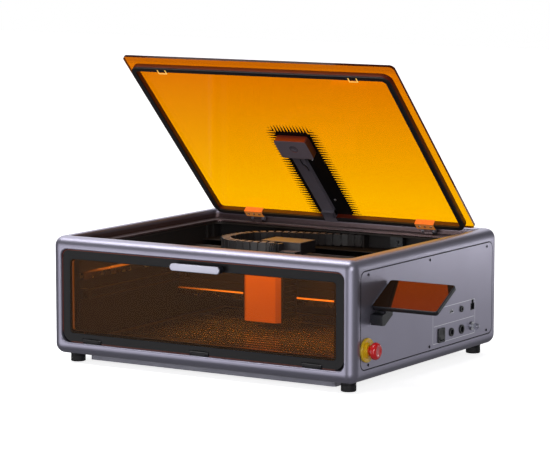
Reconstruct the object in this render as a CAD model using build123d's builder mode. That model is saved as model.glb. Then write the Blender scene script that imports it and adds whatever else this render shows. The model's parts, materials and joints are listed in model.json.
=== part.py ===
from build123d import *
import math
import os

# Enclosed desktop laser cutter. Millimetres, +Z up, the front faces -Y and the
# right-hand side faces +X. Origin: middle of the footprint, on the bench.

# ---- driving dimensions -------------------------------------------------------
CASE_W = 567.0
CASE_D = 473.0
CASE_BOTTOM = 15.0
CASE_TOP = 207.0
CASE_ROUND = 16.0
HALF_W = CASE_W / 2
HALF_D = CASE_D / 2
BASE_PLATE = 3.0
NEAR = 0.1  # tolerance when edges are picked by place

RECESS_X = 262.0
RECESS_Y = 216.0
RECESS_FLOOR = 192.0
RECESS_LIP = 3.0
RECESS_ROUND = 4.2
THROAT_X = 242.5
THROAT_Y = (-178.0, 191.0)

DOOR_OPEN_X = 265.2
DOOR_OPEN_Z = (34.9, 186.8)
DOOR_OPEN_ROUND = 2.1
SIDE_REBATE_Y = 217.0
BACK_REBATE_X = 265.0
REBATE_Z = (34.0, 188.0)
REBATE_DEPTH = 2.2
PANEL_GAP = 1.0
PANEL_THICK = 2.0
PANEL_CORNER = 12.0
WINDOW_Z = (44.2, 178.0)
SIDE_WINDOW_Y = 211.0
BACK_WINDOW_X = 259.0

SCREW_ROWS_Z = (41.4, 180.6)
SCREW_SPOTS = (-194.6, 0.0, 194.6)
BACK_SCREW_SPOTS = (-240.0, 0.0, 240.0)
SCREW_HEAD_R = 3.2
SCREW_HEAD_H = 1.2
SCREW_R = 1.5
SCREW_HOLE_R = 1.6
SCREW_LENGTH = 4.5
SCREW_HOLE_DEPTH = 8.0

FOOT_R = 12.0
FOOT_X = 255.6
FOOT_Y = 204.0
TRAY_X = 232.0
TRAY_Y = 204.0
TRAY_BOTTOM = 4.0
SHEET = 1.5

LINER_X = 250.0
LINER_BACK = 214.0
LINER_FRONT = -220.5
LINER_FLOOR = 32.0
SILL_Z = 35.4
FLANGE_TOP = 187.8
SHELF_FRONT = 156.0
SHELF_TOP = 161.5
WALL_RIBS_Y = ((167.0, 169.0), (186.0, 198.0))
RIB_HEIGHT = 4.0
MOUTH_X = 240.0
MOUTH_Z = (46.0, 172.0)

SENSOR_MID = (110.0, 175.0)

BED_X = 215.0
BED_Y = (-200.0, 170.0)
BED_TOP = 45.0
BED_RIM = 12.0
SLAT_PITCH = 18.0
SLAT_THICK = 2.0

FAN_X = -120.0
FAN_Z = 111.0
FAN_SIDE = 120.0
FAN_DEPTH = (216.5, 231.5)
FAN_BORE_R = 57.0
FAN_BLADES = 7
BLADE_PITCH_DEG = 32.0
DUCT_R = 46.0
COLLAR_R = 50.0
COLLAR_LENGTH = 30.0
COLLAR_WALL = 2.5

LID_AXIS_Y = 209.0
LID_AXIS_Z = 197.5
LID_OPEN_DEG = 45.1
LID_HALF_W = 256.8
LID_REAR = -9.0
LID_FRONT = -406.5
LID_UNDER = 5.0
LID_THICK = 4.5
RIM_HALF_W = 246.0
RIM_REAR = -12.5
RIM_FRONT = -391.2
RIM_WALL = 9.0
CATCH_X = (-182.5, 180.0)
GASKET_H = 2.5
RIM_BOTTOM = -5.0
HINGE_LEAF_X = ((-186.0, -151.0), (151.0, 186.0))
LEAF_Y = (RIM_REAR - RIM_WALL - 1.5, -9.5)
LEAF_BOTTOM = RIM_BOTTOM
PIN_R = 2.0
PIN_CLEARANCE = 0.05

DOOR_AXIS_Y = -231.0
DOOR_AXIS_Z = 38.6
DOOR_FACE_Y = -232.7
DOOR_THICK = 4.0
DOOR_X = 264.2
DOOR_Z = (36.0, 185.9)
DOOR_BORDER = 16.0
DOOR_CORNER = 11.0
DOOR_LOW_CORNER = 19.0
DOOR_FRAME_THICK = 5.0
DOOR_HINGE_X = (-207.0, 0.0, 207.0)
KNUCKLE_R = 3.6
KNUCKLE_HALF = 12.0
LEAF_HALF = 17.5

BELT_PITCH_R = 6.366
PULLEY_R = 6.3
BELT_THICK = 1.3
BELT_WIDE = 6.0
SHAFT_R = 4.0
SHAFT_Y = 190.0
SHAFT_Z = 110.0
Y_IDLER_Y = -200.0
Y_BELT_X = 237.5
RAIL_FACE_X = 242.0
Y_RAIL_Z = (134.0, 146.0)
MOTOR_SIDE = 42.0

WEB_Y = (52.0, 55.0)
DECK_Y = (52.0, 116.0)
DECK_Z = (154.0, 158.0)
END_BLOCK_Y = (56.0, 108.0)
BELT_CLAMP_Y = (68.0, 96.0)
X_RAIL_Y = (44.0, 52.0)
X_RAIL_Z = (81.0, 93.0)
X_BELT_Y = (44.5, 50.5)
X_BELT_Z = 114.8
X_PULLEY_X = 204.0
X_IDLER_X = -215.0
HEAD_X = -21.5
HEAD_HALF = 39.5
HEAD_Y = (-11.0, 33.0)
HEAD_MID_Y = (HEAD_Y[0] + HEAD_Y[1]) / 2
HEAD_Z = (64.0, 156.0)
FIN_COUNT = 9
FIN_PITCH = 9.0
COVER_X = (-67.0, 11.0)
COVER_Y = (55.0, 104.0)

CHAIN_WIDE = 15.0
CHAIN_Z = (163.0, 183.0)
CHAIN_PITCH = 13.0
CHAIN_GAP = 2.4
CHAIN_WALL = 2.0
ANCHOR_X = (47.0, 50.0)
ANCHOR_FRONT = 197.0

PORT_FACE = HALF_W
SOCKETS = ((75.2, 54.8, 7.0), (109.9, 54.8, 7.5), (109.2, 88.1, 5.2))
LOCK_Y = 144.7
LOCK_Z = 55.4
LOCK_R = 7.0
CORE_R = 4.0
ROCKER_Y = (29.5, 51.3)
ROCKER_Z = (43.0, 66.0)
ROCKER_TIP_DEG = 8.0
ROCKER_HUB_R = 3.6
ROCKER_CORNER = 0.8
USB_MID = (74.8, 88.7)
USB_HALF = (6.5, 2.7)
JACK_MID = (147.2, 90.3)
# Half-width and heights of the network jack: a wide mouth with a narrower latch slot above it.
JACK_STEPS = ((6.0, -8.4, 2.8), (2.6, 2.8, 8.4))
JACK_WALL = 0.9
FLANGE_LAP = 1.3  # how far a round flange laps over the edge of its hole
HOLE_GAP = 0.1
ESTOP_Y = -198.0
ESTOP_Z = 65.0
ESTOP_BARREL_R = 11.0

DISPLAY_MID = (343.0, -159.5, 149.0)
DISPLAY_TILT_DEG = 29.1
DISPLAY_W = 114.0
DISPLAY_H = 70.0
DISPLAY_T = 7.5
TILT_AXIS_Y = -172.4
TILT_AXIS_Z = 127.0
TILT_X = (286.0, 306.0)

# ---- frames -------------------------------------------------------------------
WORLD = Plane.XY
lid_lean = math.radians(LID_OPEN_DEG)
# The lid frame coincides with the world axes, about the hinge line, when shut.
LID = Plane(
    origin=(0, LID_AXIS_Y, LID_AXIS_Z),
    x_dir=(1, 0, 0),
    z_dir=(0, math.sin(lid_lean), math.cos(lid_lean)),
)
LID_UP = Axis(LID.origin, LID.z_dir)
display_lean = math.radians(DISPLAY_TILT_DEG)
DISPLAY = Plane(
    origin=DISPLAY_MID,
    x_dir=(1, 0, 0),
    z_dir=(0, -math.sin(display_lean), math.cos(display_lean)),
)


def cross_plane(frame, along, at):
    """Sketch plane that cuts one axis of a frame at a given coordinate."""
    if along == "x":
        return Plane(frame.from_local_coords((at, 0, 0)), x_dir=frame.y_dir, z_dir=frame.x_dir)
    if along == "y":
        return Plane(frame.from_local_coords((0, at, 0)), x_dir=frame.x_dir, z_dir=-frame.y_dir)
    return Plane(frame.from_local_coords((0, 0, at)), x_dir=frame.x_dir, z_dir=frame.z_dir)


def start_of(span, along):
    """The end of a span where its sketch plane goes: sketches across Y look towards -Y."""
    return span[1] if along == "y" else span[0]


def slab(x, y, z, along="z", radius=0.0, frame=WORLD, mode=Mode.ADD):
    """Block over three ranges; radius rounds the four edges that run along one axis."""
    across, up, depth = {"x": (y, z, x), "y": (x, z, y), "z": (x, y, z)}[along]
    width = across[1] - across[0]
    height = up[1] - up[0]
    with BuildSketch(cross_plane(frame, along, start_of(depth, along))) as outline:
        with Locations(((across[0] + across[1]) / 2, (up[0] + up[1]) / 2)):
            if radius > 0:
                RectangleRounded(width, height, radius)
            else:
                Rectangle(width, height)
    extrude(outline.sketch, amount=depth[1] - depth[0], mode=mode)


def rod(centre, span, radius, along="z", frame=WORLD, mode=Mode.ADD):
    """Cylinder along one axis; centre is given in the other two axes, in X, Y, Z order."""
    with BuildSketch(cross_plane(frame, along, start_of(span, along))) as outline:
        with Locations(centre):
            Circle(radius)
    extrude(outline.sketch, amount=span[1] - span[0], mode=mode)


def prism(points, span, along="z", frame=WORLD, mode=Mode.ADD):
    """Polygon carried along one axis; points are in the other two axes."""
    with BuildSketch(cross_plane(frame, along, start_of(span, along))) as outline:
        with BuildLine():
            Polyline(*points, close=True)
        make_face()
    extrude(outline.sketch, amount=span[1] - span[0], mode=mode)


def taper(centre, span, radii, along="z", frame=WORLD, mode=Mode.ADD):
    """Cone frustum along +X or +Z from radii[0] at the low end to radii[1] at the high end."""
    lean = math.degrees(math.atan((radii[0] - radii[1]) / (span[1] - span[0])))
    with BuildSketch(cross_plane(frame, along, span[0])) as outline:
        with Locations(centre):
            Circle(radii[0])
    extrude(outline.sketch, amount=span[1] - span[0], taper=lean, mode=mode)


def mirror_pair(span):
    """The same span on the positive and the negative side."""
    return (span, (-span[1], -span[0]))


def belt_loop(first, second, centre_other, span, along):
    """Closed belt round two equal pulleys; first and second are their centres on the long axis."""
    middle = (first + second) / 2
    run = abs(second - first)
    inner = PULLEY_R + 0.05
    outer = inner + BELT_THICK
    with BuildSketch(cross_plane(WORLD, along, start_of(span, along))) as outline:
        with Locations((middle, centre_other)):
            SlotCenterToCenter(run, 2 * outer)
            SlotCenterToCenter(run, 2 * inner, mode=Mode.SUBTRACT)
    extrude(outline.sketch, amount=span[1] - span[0])


# ---- case ---------------------------------------------------------------------
with BuildPart() as body_shell:
    slab((-HALF_W, HALF_W), (-HALF_D, HALF_D), (CASE_BOTTOM, CASE_TOP))
    fillet(body_shell.edges(), CASE_ROUND)
    recess_x = (-RECESS_X, RECESS_X)
    recess_y = (-RECESS_Y, RECESS_Y)
    slab(recess_x, recess_y, (RECESS_FLOOR, CASE_TOP), radius=10, mode=Mode.SUBTRACT)
    throat_span = (RECESS_FLOOR - RECESS_LIP, RECESS_FLOOR)
    slab((-THROAT_X, THROAT_X), THROAT_Y, throat_span, radius=14, mode=Mode.SUBTRACT)
    hollow_z = (CASE_BOTTOM + BASE_PLATE, RECESS_FLOOR - RECESS_LIP)
    slab(recess_x, recess_y, hollow_z, mode=Mode.SUBTRACT)
    front_wall = (-HALF_D, -RECESS_Y)
    slab((-DOOR_OPEN_X, DOOR_OPEN_X), front_wall, DOOR_OPEN_Z, "y", PANEL_CORNER, mode=Mode.SUBTRACT)
    for side in mirror_pair((RECESS_X, HALF_W)):
        slab(side, (-SIDE_WINDOW_Y, SIDE_WINDOW_Y), WINDOW_Z, "x", 8, mode=Mode.SUBTRACT)
    for side in mirror_pair((HALF_W - REBATE_DEPTH, HALF_W)):
        rebate_side_y = (-SIDE_REBATE_Y, SIDE_REBATE_Y)
        slab(side, rebate_side_y, REBATE_Z, "x", PANEL_CORNER + PANEL_GAP, mode=Mode.SUBTRACT)
    back_x = (-BACK_WINDOW_X, BACK_WINDOW_X)
    slab(back_x, (RECESS_Y, HALF_D), WINDOW_Z, "y", 8, mode=Mode.SUBTRACT)
    rebate_x = (-BACK_REBATE_X, BACK_REBATE_X)
    rebate_y = (HALF_D - REBATE_DEPTH, HALF_D)
    slab(rebate_x, rebate_y, REBATE_Z, "y", PANEL_CORNER + PANEL_GAP, mode=Mode.SUBTRACT)
    for row in SCREW_ROWS_Z:
        for spot in SCREW_SPOTS:
            for side in mirror_pair((HALF_W - SCREW_HOLE_DEPTH, HALF_W - REBATE_DEPTH)):
                rod((spot, row), side, SCREW_HOLE_R, "x", mode=Mode.SUBTRACT)
        for spot in BACK_SCREW_SPOTS:
            back_hole = (HALF_D - SCREW_HOLE_DEPTH, HALF_D - REBATE_DEPTH)
            rod((spot, row), back_hole, SCREW_HOLE_R, "y", mode=Mode.SUBTRACT)
    recess_rim = body_shell.edges().filter_by_position(Axis.Z, CASE_TOP - NEAR, CASE_TOP + NEAR)
    recess_rim = recess_rim.filter_by(lambda e: abs(e.center().X) < RECESS_X + NEAR)
    recess_rim = recess_rim.filter_by(lambda e: abs(e.center().Y) < RECESS_Y + NEAR)
    fillet(recess_rim, RECESS_ROUND)
    door_rim = body_shell.edges().filter_by_position(Axis.Y, -HALF_D - NEAR, -HALF_D + NEAR)
    door_rim = door_rim.filter_by(lambda e: abs(e.center().X) < DOOR_OPEN_X + NEAR)
    door_rim = door_rim.filter_by(lambda e: DOOR_OPEN_Z[0] - NEAR < e.center().Z < DOOR_OPEN_Z[1] + NEAR)
    fillet(door_rim, DOOR_OPEN_ROUND)


def panel_outline(side, half_width, along):
    """Flush cover sheet with rounded corners and its screw holes."""
    across = (-half_width + PANEL_GAP, half_width - PANEL_GAP)
    up = (REBATE_Z[0] + PANEL_GAP, REBATE_Z[1] - PANEL_GAP)
    if along == "x":
        slab(side, across, up, "x", PANEL_CORNER)
    else:
        slab(across, side, up, "y", PANEL_CORNER)
    spots = SCREW_SPOTS if along == "x" else BACK_SCREW_SPOTS
    for row in SCREW_ROWS_Z:
        for spot in spots:
            rod((spot, row), side, SCREW_HOLE_R, along, mode=Mode.SUBTRACT)


def port_block(depth, middle, half_width, low, high, mode=Mode.ADD):
    """Block of a port on the right-hand side; low and high are heights from the port's middle."""
    across = (middle[0] - half_width, middle[0] + half_width)
    slab(depth, across, (middle[1] + low, middle[1] + high), "x", mode=mode)


PANEL_SPAN_X = (HALF_W - PANEL_THICK, HALF_W)
with BuildPart() as side_panel_left:
    panel_outline((-PANEL_SPAN_X[1], -PANEL_SPAN_X[0]), SIDE_REBATE_Y, "x")

with BuildPart() as side_panel_right:
    panel_outline(PANEL_SPAN_X, SIDE_REBATE_Y, "x")
    for y_mid, z_mid, flange_r in SOCKETS:
        rod((y_mid, z_mid), PANEL_SPAN_X, flange_r - FLANGE_LAP + HOLE_GAP, "x", mode=Mode.SUBTRACT)
    rod((LOCK_Y, LOCK_Z), PANEL_SPAN_X, LOCK_R - FLANGE_LAP + HOLE_GAP, "x", mode=Mode.SUBTRACT)
    rod((ESTOP_Y, ESTOP_Z), PANEL_SPAN_X, ESTOP_BARREL_R + 0.2, "x", mode=Mode.SUBTRACT)
    rocker_y = (ROCKER_Y[0] + 1.4, ROCKER_Y[1] - 1.4)
    rocker_z = (ROCKER_Z[0] + 1.4, ROCKER_Z[1] - 1.4)
    slab(PANEL_SPAN_X, rocker_y, rocker_z, "x", ROCKER_CORNER, mode=Mode.SUBTRACT)
    usb_hole = (USB_HALF[0] + HOLE_GAP, USB_HALF[1] + HOLE_GAP)
    port_block(PANEL_SPAN_X, USB_MID, usb_hole[0], -usb_hole[1], usb_hole[1], Mode.SUBTRACT)
    for half_width, low, high in JACK_STEPS:
        hole_span = (half_width + HOLE_GAP, low - HOLE_GAP, high + HOLE_GAP)
        port_block(PANEL_SPAN_X, JACK_MID, *hole_span, Mode.SUBTRACT)

with BuildPart() as back_panel:
    back_span = (HALF_D - PANEL_THICK, HALF_D)
    panel_outline(back_span, BACK_REBATE_X, "y")
    rod((FAN_X, FAN_Z), back_span, DUCT_R, "y", mode=Mode.SUBTRACT)

with BuildPart() as base_tray:
    tray_x = (-TRAY_X, TRAY_X)
    tray_y = (-TRAY_Y, TRAY_Y)
    slab(tray_x, tray_y, (TRAY_BOTTOM, CASE_BOTTOM), radius=6)
    inner_x = (-TRAY_X + SHEET, TRAY_X - SHEET)
    inner_y = (-TRAY_Y + SHEET, TRAY_Y - SHEET)
    slab(inner_x, inner_y, (TRAY_BOTTOM + SHEET, CASE_BOTTOM), radius=5, mode=Mode.SUBTRACT)

with BuildPart() as panel_screws:
    for row in SCREW_ROWS_Z:
        for spot in SCREW_SPOTS:
            for head in mirror_pair((HALF_W, HALF_W + SCREW_HEAD_H)):
                rod((spot, row), head, SCREW_HEAD_R, "x")
            for shank in mirror_pair((HALF_W - SCREW_LENGTH, HALF_W)):
                rod((spot, row), shank, SCREW_R, "x")
        for spot in BACK_SCREW_SPOTS:
            rod((spot, row), (HALF_D, HALF_D + SCREW_HEAD_H), SCREW_HEAD_R, "y")
            rod((spot, row), (HALF_D - SCREW_LENGTH, HALF_D), SCREW_R, "y")

with BuildPart() as feet:
    for x_mid in (-FOOT_X, FOOT_X):
        for y_mid in (-FOOT_Y, FOOT_Y):
            rod((x_mid, y_mid), (0, CASE_BOTTOM), FOOT_R)
    fillet(feet.faces().filter_by(Axis.Z).group_by(Axis.Z)[0].edges(), 1.0)

# ---- work chamber -------------------------------------------------------------
with BuildPart() as inner_liner:
    wall_x = (-LINER_X - SHEET, LINER_X + SHEET)
    wall_y = (LINER_FRONT, LINER_BACK + SHEET)
    under_flange = FLANGE_TOP - SHEET
    slab(wall_x, wall_y, (LINER_FLOOR - SHEET, under_flange))
    chamber_x = (-LINER_X, LINER_X)
    chamber_top = under_flange - SHEET
    slab(chamber_x, (LINER_FRONT, LINER_BACK), (LINER_FLOOR, chamber_top), mode=Mode.SUBTRACT)
    flange_x = (-RECESS_X + 0.4, RECESS_X - 0.4)
    flange_y = (-RECESS_Y + 0.4, RECESS_Y - 0.4)
    slab(flange_x, flange_y, (under_flange, FLANGE_TOP))
    slab((-THROAT_X, THROAT_X), THROAT_Y, (chamber_top, FLANGE_TOP), radius=14, mode=Mode.SUBTRACT)
    mouth_y = (LINER_FRONT - SHEET, LINER_FRONT)
    face_x = (-DOOR_OPEN_X + 0.7, DOOR_OPEN_X - 0.7)
    face_z = (DOOR_OPEN_Z[0] + 0.6, DOOR_OPEN_Z[1] - 0.6)
    slab(face_x, mouth_y, face_z, "y", PANEL_CORNER - 1)
    slab((-MOUTH_X, MOUTH_X), mouth_y, MOUTH_Z, "y", 10, mode=Mode.SUBTRACT)
    sill_y = (-RECESS_Y + 0.2, -RECESS_Y + 0.2 + SHEET)
    slab(wall_x, (LINER_FRONT, sill_y[0]), (LINER_FLOOR - SHEET, SILL_Z), mode=Mode.SUBTRACT)
    slab(wall_x, sill_y, (LINER_FLOOR - SHEET, SILL_Z + SHEET))
    slab(wall_x, (LINER_FRONT, sill_y[1]), (SILL_Z, SILL_Z + SHEET))
    slab(chamber_x, (SHELF_FRONT, LINER_BACK), (SHELF_TOP - SHEET, SHELF_TOP))
    rod((FAN_X, FAN_Z), (LINER_BACK, LINER_BACK + SHEET), DUCT_R, "y", mode=Mode.SUBTRACT)
    for rib_y in WALL_RIBS_Y:
        slab((-LINER_X, -LINER_X + RIB_HEIGHT), rib_y, (SHELF_TOP, chamber_top))
    slab(ANCHOR_X, (ANCHOR_FRONT, LINER_BACK), (SHELF_TOP, CHAIN_Z[1]))

with BuildPart() as bed_frame:
    slab((-BED_X, BED_X), BED_Y, (LINER_FLOOR, BED_TOP), radius=3)
    inside_x = (-BED_X + BED_RIM, BED_X - BED_RIM)
    inside_y = (BED_Y[0] + BED_RIM, BED_Y[1] - BED_RIM)
    slab(inside_x, inside_y, (LINER_FLOOR, BED_TOP), mode=Mode.SUBTRACT)

with BuildPart() as bed_slats:
    slat_count = int((inside_y[1] - inside_y[0]) / SLAT_PITCH)
    first_slat = (inside_y[0] + inside_y[1] - (slat_count - 1) * SLAT_PITCH) / 2
    for index in range(slat_count):
        slat_y = first_slat + index * SLAT_PITCH
        slat_span = (slat_y - SLAT_THICK / 2, slat_y + SLAT_THICK / 2)
        slab(inside_x, slat_span, (LINER_FLOOR + 3, BED_TOP))

with BuildPart() as flame_sensor:
    sensor_x, sensor_z = SENSOR_MID
    sensor_front = LINER_BACK - 12
    across = (sensor_x - 12, sensor_x + 12)
    slab(across, (sensor_front, LINER_BACK), (sensor_z - 9, sensor_z + 9), "y", 2)
    rod(SENSOR_MID, (sensor_front - 2, sensor_front), 3.5, "y")

# ---- exhaust ------------------------------------------------------------------
FAN_HALF = FAN_SIDE / 2
FAN_SPAN_X = (FAN_X - FAN_HALF, FAN_X + FAN_HALF)
FAN_SPAN_Z = (FAN_Z - FAN_HALF, FAN_Z + FAN_HALF)
FAN_HUB_R = 20.0
with BuildPart() as fan_frame:
    slab(FAN_SPAN_X, FAN_DEPTH, FAN_SPAN_Z, "y", 5)
    rod((FAN_X, FAN_Z), FAN_DEPTH, FAN_BORE_R, "y", mode=Mode.SUBTRACT)
    strut_y = (FAN_DEPTH[1] - 2.5, FAN_DEPTH[1])
    strut_reach = FAN_BORE_R + 1
    rod((FAN_X, FAN_Z), strut_y, FAN_HUB_R, "y")
    slab((FAN_X - strut_reach, FAN_X + strut_reach), strut_y, (FAN_Z - 3, FAN_Z + 3))
    slab((FAN_X - 3, FAN_X + 3), strut_y, (FAN_Z - strut_reach, FAN_Z + strut_reach))
    rod((FAN_X, FAN_Z), (FAN_DEPTH[0] + 4, strut_y[0]), PIN_R, "y")

with BuildPart() as fan_rotor:
    hub_span = (FAN_DEPTH[0] + 1, FAN_DEPTH[1] - 3)
    rod((FAN_X, FAN_Z), hub_span, FAN_HUB_R, "y")
    blade_frame = Plane((FAN_X, 0, FAN_Z), x_dir=(1, 0, 0), z_dir=(0, -1, 0))
    blade_mid = (hub_span[0] + hub_span[1]) / 2
    for index in range(FAN_BLADES):
        turn = math.radians(index * 360 / FAN_BLADES)
        outward = Vector(math.cos(turn), 0, math.sin(turn))
        sideways = Vector(-math.sin(turn), 0, math.cos(turn))
        pitch = math.radians(BLADE_PITCH_DEG)
        facing = sideways * math.sin(pitch) + Vector(0, 1, 0) * math.cos(pitch)
        root = Vector(FAN_X, blade_mid, FAN_Z) + outward * (FAN_HUB_R - 1)
        blade = Plane(root, x_dir=outward, z_dir=facing)
        slab((0, FAN_BORE_R - FAN_HUB_R - 1), (-7.5, 7.5), (-0.9, 0.9), radius=0.5, frame=blade)
    spindle_hole = (FAN_DEPTH[0] + 3, FAN_DEPTH[1])
    rod((FAN_X, FAN_Z), spindle_hole, PIN_R + PIN_CLEARANCE, "y", mode=Mode.SUBTRACT)

with BuildPart() as exhaust_collar:
    flange_y = (HALF_D, HALF_D + 3)
    spigot_end = flange_y[1] + COLLAR_LENGTH
    rod((FAN_X, FAN_Z), flange_y, COLLAR_R + 8, "y")
    rod((FAN_X, FAN_Z), (flange_y[1], spigot_end), COLLAR_R, "y")
    rod((FAN_X, FAN_Z), (HALF_D, spigot_end), COLLAR_R - COLLAR_WALL, "y", mode=Mode.SUBTRACT)
    guard_y = (HALF_D, HALF_D + 2)
    reach = COLLAR_R - COLLAR_WALL + 0.5
    for offset in (-32, -16, 0, 16, 32):
        half = math.sqrt(reach**2 - offset**2)
        slab((FAN_X - half, FAN_X + half), guard_y, (FAN_Z + offset - 1, FAN_Z + offset + 1))
    slab((FAN_X - 1.5, FAN_X + 1.5), guard_y, (FAN_Z - reach, FAN_Z + reach))

# ---- motion system ------------------------------------------------------------
with BuildPart() as y_rails:
    for side in mirror_pair((RAIL_FACE_X, LINER_X)):
        slab(side, (-206, 206), Y_RAIL_Z)

with BuildPart() as y_belts:
    for side in mirror_pair((Y_BELT_X - BELT_WIDE / 2, Y_BELT_X + BELT_WIDE / 2)):
        belt_loop(SHAFT_Y, Y_IDLER_Y, SHAFT_Z, side, "x")

with BuildPart() as y_belt_supports:
    for side in mirror_pair((Y_BELT_X + 4.2, LINER_X)):
        slab(side, (Y_IDLER_Y - 9, Y_IDLER_Y + 9), (SHAFT_Z - 9, SHAFT_Z + 9), "x", 3)
    for side in mirror_pair((Y_BELT_X - 3.5, Y_BELT_X + 3.5)):
        rod((Y_IDLER_Y, SHAFT_Z), side, PULLEY_R, "x")
    for side in mirror_pair((Y_BELT_X + 3.5, Y_BELT_X + 4.2)):
        rod((Y_IDLER_Y, SHAFT_Z), side, 3.0, "x")
    for side in mirror_pair((Y_BELT_X + 5.5, LINER_X)):
        slab(side, (SHAFT_Y - 9, SHAFT_Y + 9), (SHAFT_Z - 9, SHAFT_Z + 9), "x", 3)
        rod((SHAFT_Y, SHAFT_Z), side, SHAFT_R + PIN_CLEARANCE, "x", mode=Mode.SUBTRACT)

with BuildPart() as y_shaft:
    rod((SHAFT_Y, SHAFT_Z), (-LINER_X + 1, LINER_X - 1), SHAFT_R, "x")
    for side in mirror_pair((Y_BELT_X - 3.5, Y_BELT_X + 3.5)):
        rod((SHAFT_Y, SHAFT_Z), side, PULLEY_R, "x")
    for side in mirror_pair((Y_BELT_X - 4.7, Y_BELT_X - 3.5)):
        rod((SHAFT_Y, SHAFT_Z), side, PULLEY_R + 1.6, "x")

Y_MOTOR_X = (-228.0, -194.0)
with BuildPart() as y_motor:
    motor_y = (SHAFT_Y - MOTOR_SIDE / 2, SHAFT_Y + MOTOR_SIDE / 2)
    motor_z = (SHAFT_Z - MOTOR_SIDE / 2, SHAFT_Z + MOTOR_SIDE / 2)
    slab(Y_MOTOR_X, motor_y, motor_z, "x", 4)
    slab(Y_MOTOR_X, (motor_y[1] - 5, LINER_BACK), (SHAFT_Z - 15, SHAFT_Z + 15))
    rod((SHAFT_Y, SHAFT_Z), Y_MOTOR_X, SHAFT_R + PIN_CLEARANCE, "x", mode=Mode.SUBTRACT)

with BuildPart() as gantry_beam:
    web_x = (-229, 229)
    deck_x = (-246, 246)
    slab(web_x, WEB_Y, (78, DECK_Z[0]), "y", 2)
    slab(deck_x, DECK_Y, DECK_Z)
    slab(web_x, (DECK_Y[1] - 3, DECK_Y[1]), (DECK_Z[0] - 12, DECK_Z[0]))
    for groove in (66, 78, 90, 102):
        groove_z = (DECK_Z[1] - 1.5, DECK_Z[1])
        slab(deck_x, (groove - 2, groove + 2), groove_z, mode=Mode.SUBTRACT)
    rod((X_PULLEY_X, X_BELT_Z), WEB_Y, 5.0, "y", mode=Mode.SUBTRACT)
    rod((X_IDLER_X, X_BELT_Z), (X_BELT_Y[0] - 0.5, X_BELT_Y[1] + 0.5), PULLEY_R, "y")
    rod((X_IDLER_X, X_BELT_Z), (X_BELT_Y[1] + 0.5, WEB_Y[0]), 3.0, "y")

with BuildPart() as gantry_ends:
    for side, jaw, clamp in zip(
        mirror_pair((229.2, LINER_X - 1)),
        mirror_pair((RAIL_FACE_X - 0.2, LINER_X)),
        mirror_pair((Y_BELT_X - BELT_WIDE / 2, Y_BELT_X + BELT_WIDE / 2)),
    ):
        block_bottom = Y_RAIL_Z[0] - 6
        slab(side, END_BLOCK_Y, (block_bottom, DECK_Z[0]))
        slab(jaw, END_BLOCK_Y, (Y_RAIL_Z[0] - 0.2, Y_RAIL_Z[1] + 0.2), mode=Mode.SUBTRACT)
        slab(clamp, BELT_CLAMP_Y, (SHAFT_Z + PULLEY_R + BELT_THICK + 0.4, block_bottom))

with BuildPart() as x_rail:
    slab((-227, 227), X_RAIL_Y, X_RAIL_Z)
    for groove_z in (X_RAIL_Z[0], X_RAIL_Z[1]):
        rod((X_RAIL_Y[0] + 3.5, groove_z), (-227, 227), 1.2, "x", mode=Mode.SUBTRACT)

with BuildPart() as x_belt:
    belt_loop(X_PULLEY_X, X_IDLER_X, X_BELT_Z, X_BELT_Y, "y")

with BuildPart() as x_motor:
    half = MOTOR_SIDE / 2
    motor_x = (X_PULLEY_X - half, X_PULLEY_X + half)
    motor_z = (X_BELT_Z - half, X_BELT_Z + half)
    slab(motor_x, (WEB_Y[1], WEB_Y[1] + 28), motor_z, "y", 4)
    bore_y = (X_BELT_Y[0] - 1, WEB_Y[1] + 12)
    rod((X_PULLEY_X, X_BELT_Z), bore_y, SHAFT_R, "y", mode=Mode.SUBTRACT)

with BuildPart() as x_pulley:
    rod((X_PULLEY_X, X_BELT_Z), (X_BELT_Y[0] - 0.5, WEB_Y[0] - 0.8), PULLEY_R, "y")
    rod((X_PULLEY_X, X_BELT_Z), (X_BELT_Y[0] - 1.5, X_BELT_Y[0] - 0.5), PULLEY_R + 1.4, "y")
    rod((X_PULLEY_X, X_BELT_Z), (WEB_Y[0] - 0.8, WEB_Y[1] + 11), 2.5, "y")

# ---- carriage and laser head --------------------------------------------------
HEAD_SPAN = (HEAD_X - HEAD_HALF, HEAD_X + HEAD_HALF)
with BuildPart() as carriage_plate:
    plate_y = (HEAD_Y[1], HEAD_Y[1] + 5)
    slab((HEAD_SPAN[0] + 4, HEAD_SPAN[1] - 4), plate_y, (70, 158), "y", 4)
    slide_x = (HEAD_X - 30, HEAD_X + 30)
    slab(slide_x, (plate_y[1], WEB_Y[0] - 1), (X_RAIL_Z[0] - 5, X_RAIL_Z[1] + 5))
    rail_slot_z = (X_RAIL_Z[0] - 0.2, X_RAIL_Z[1] + 0.2)
    slab(slide_x, (X_RAIL_Y[0] - 0.2, X_RAIL_Y[1]), rail_slot_z, mode=Mode.SUBTRACT)
    clamp_z = X_BELT_Z + PULLEY_R + BELT_THICK + 0.3
    slab((HEAD_X - 12, HEAD_X + 12), (plate_y[1], WEB_Y[0] - 2), (clamp_z, clamp_z + 5))

with BuildPart() as carriage_cover:
    bridge_x = (-22, 10)
    bridge_z = (CHAIN_Z[0], CHAIN_Z[0] + 6)
    slab(bridge_x, (plate_y[1], WEB_Y[0] - 1), (152, bridge_z[1]))
    slab(COVER_X, COVER_Y, CHAIN_Z, radius=2)
    slab(bridge_x, (plate_y[1], COVER_Y[0] + 5), bridge_z)
    slab((-25, -21), (plate_y[1], COVER_Y[0]), (CHAIN_Z[0], CHAIN_Z[1] - 2))
    fillet(carriage_cover.faces().sort_by(Axis.Z)[-1].edges(), 1.2)

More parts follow.
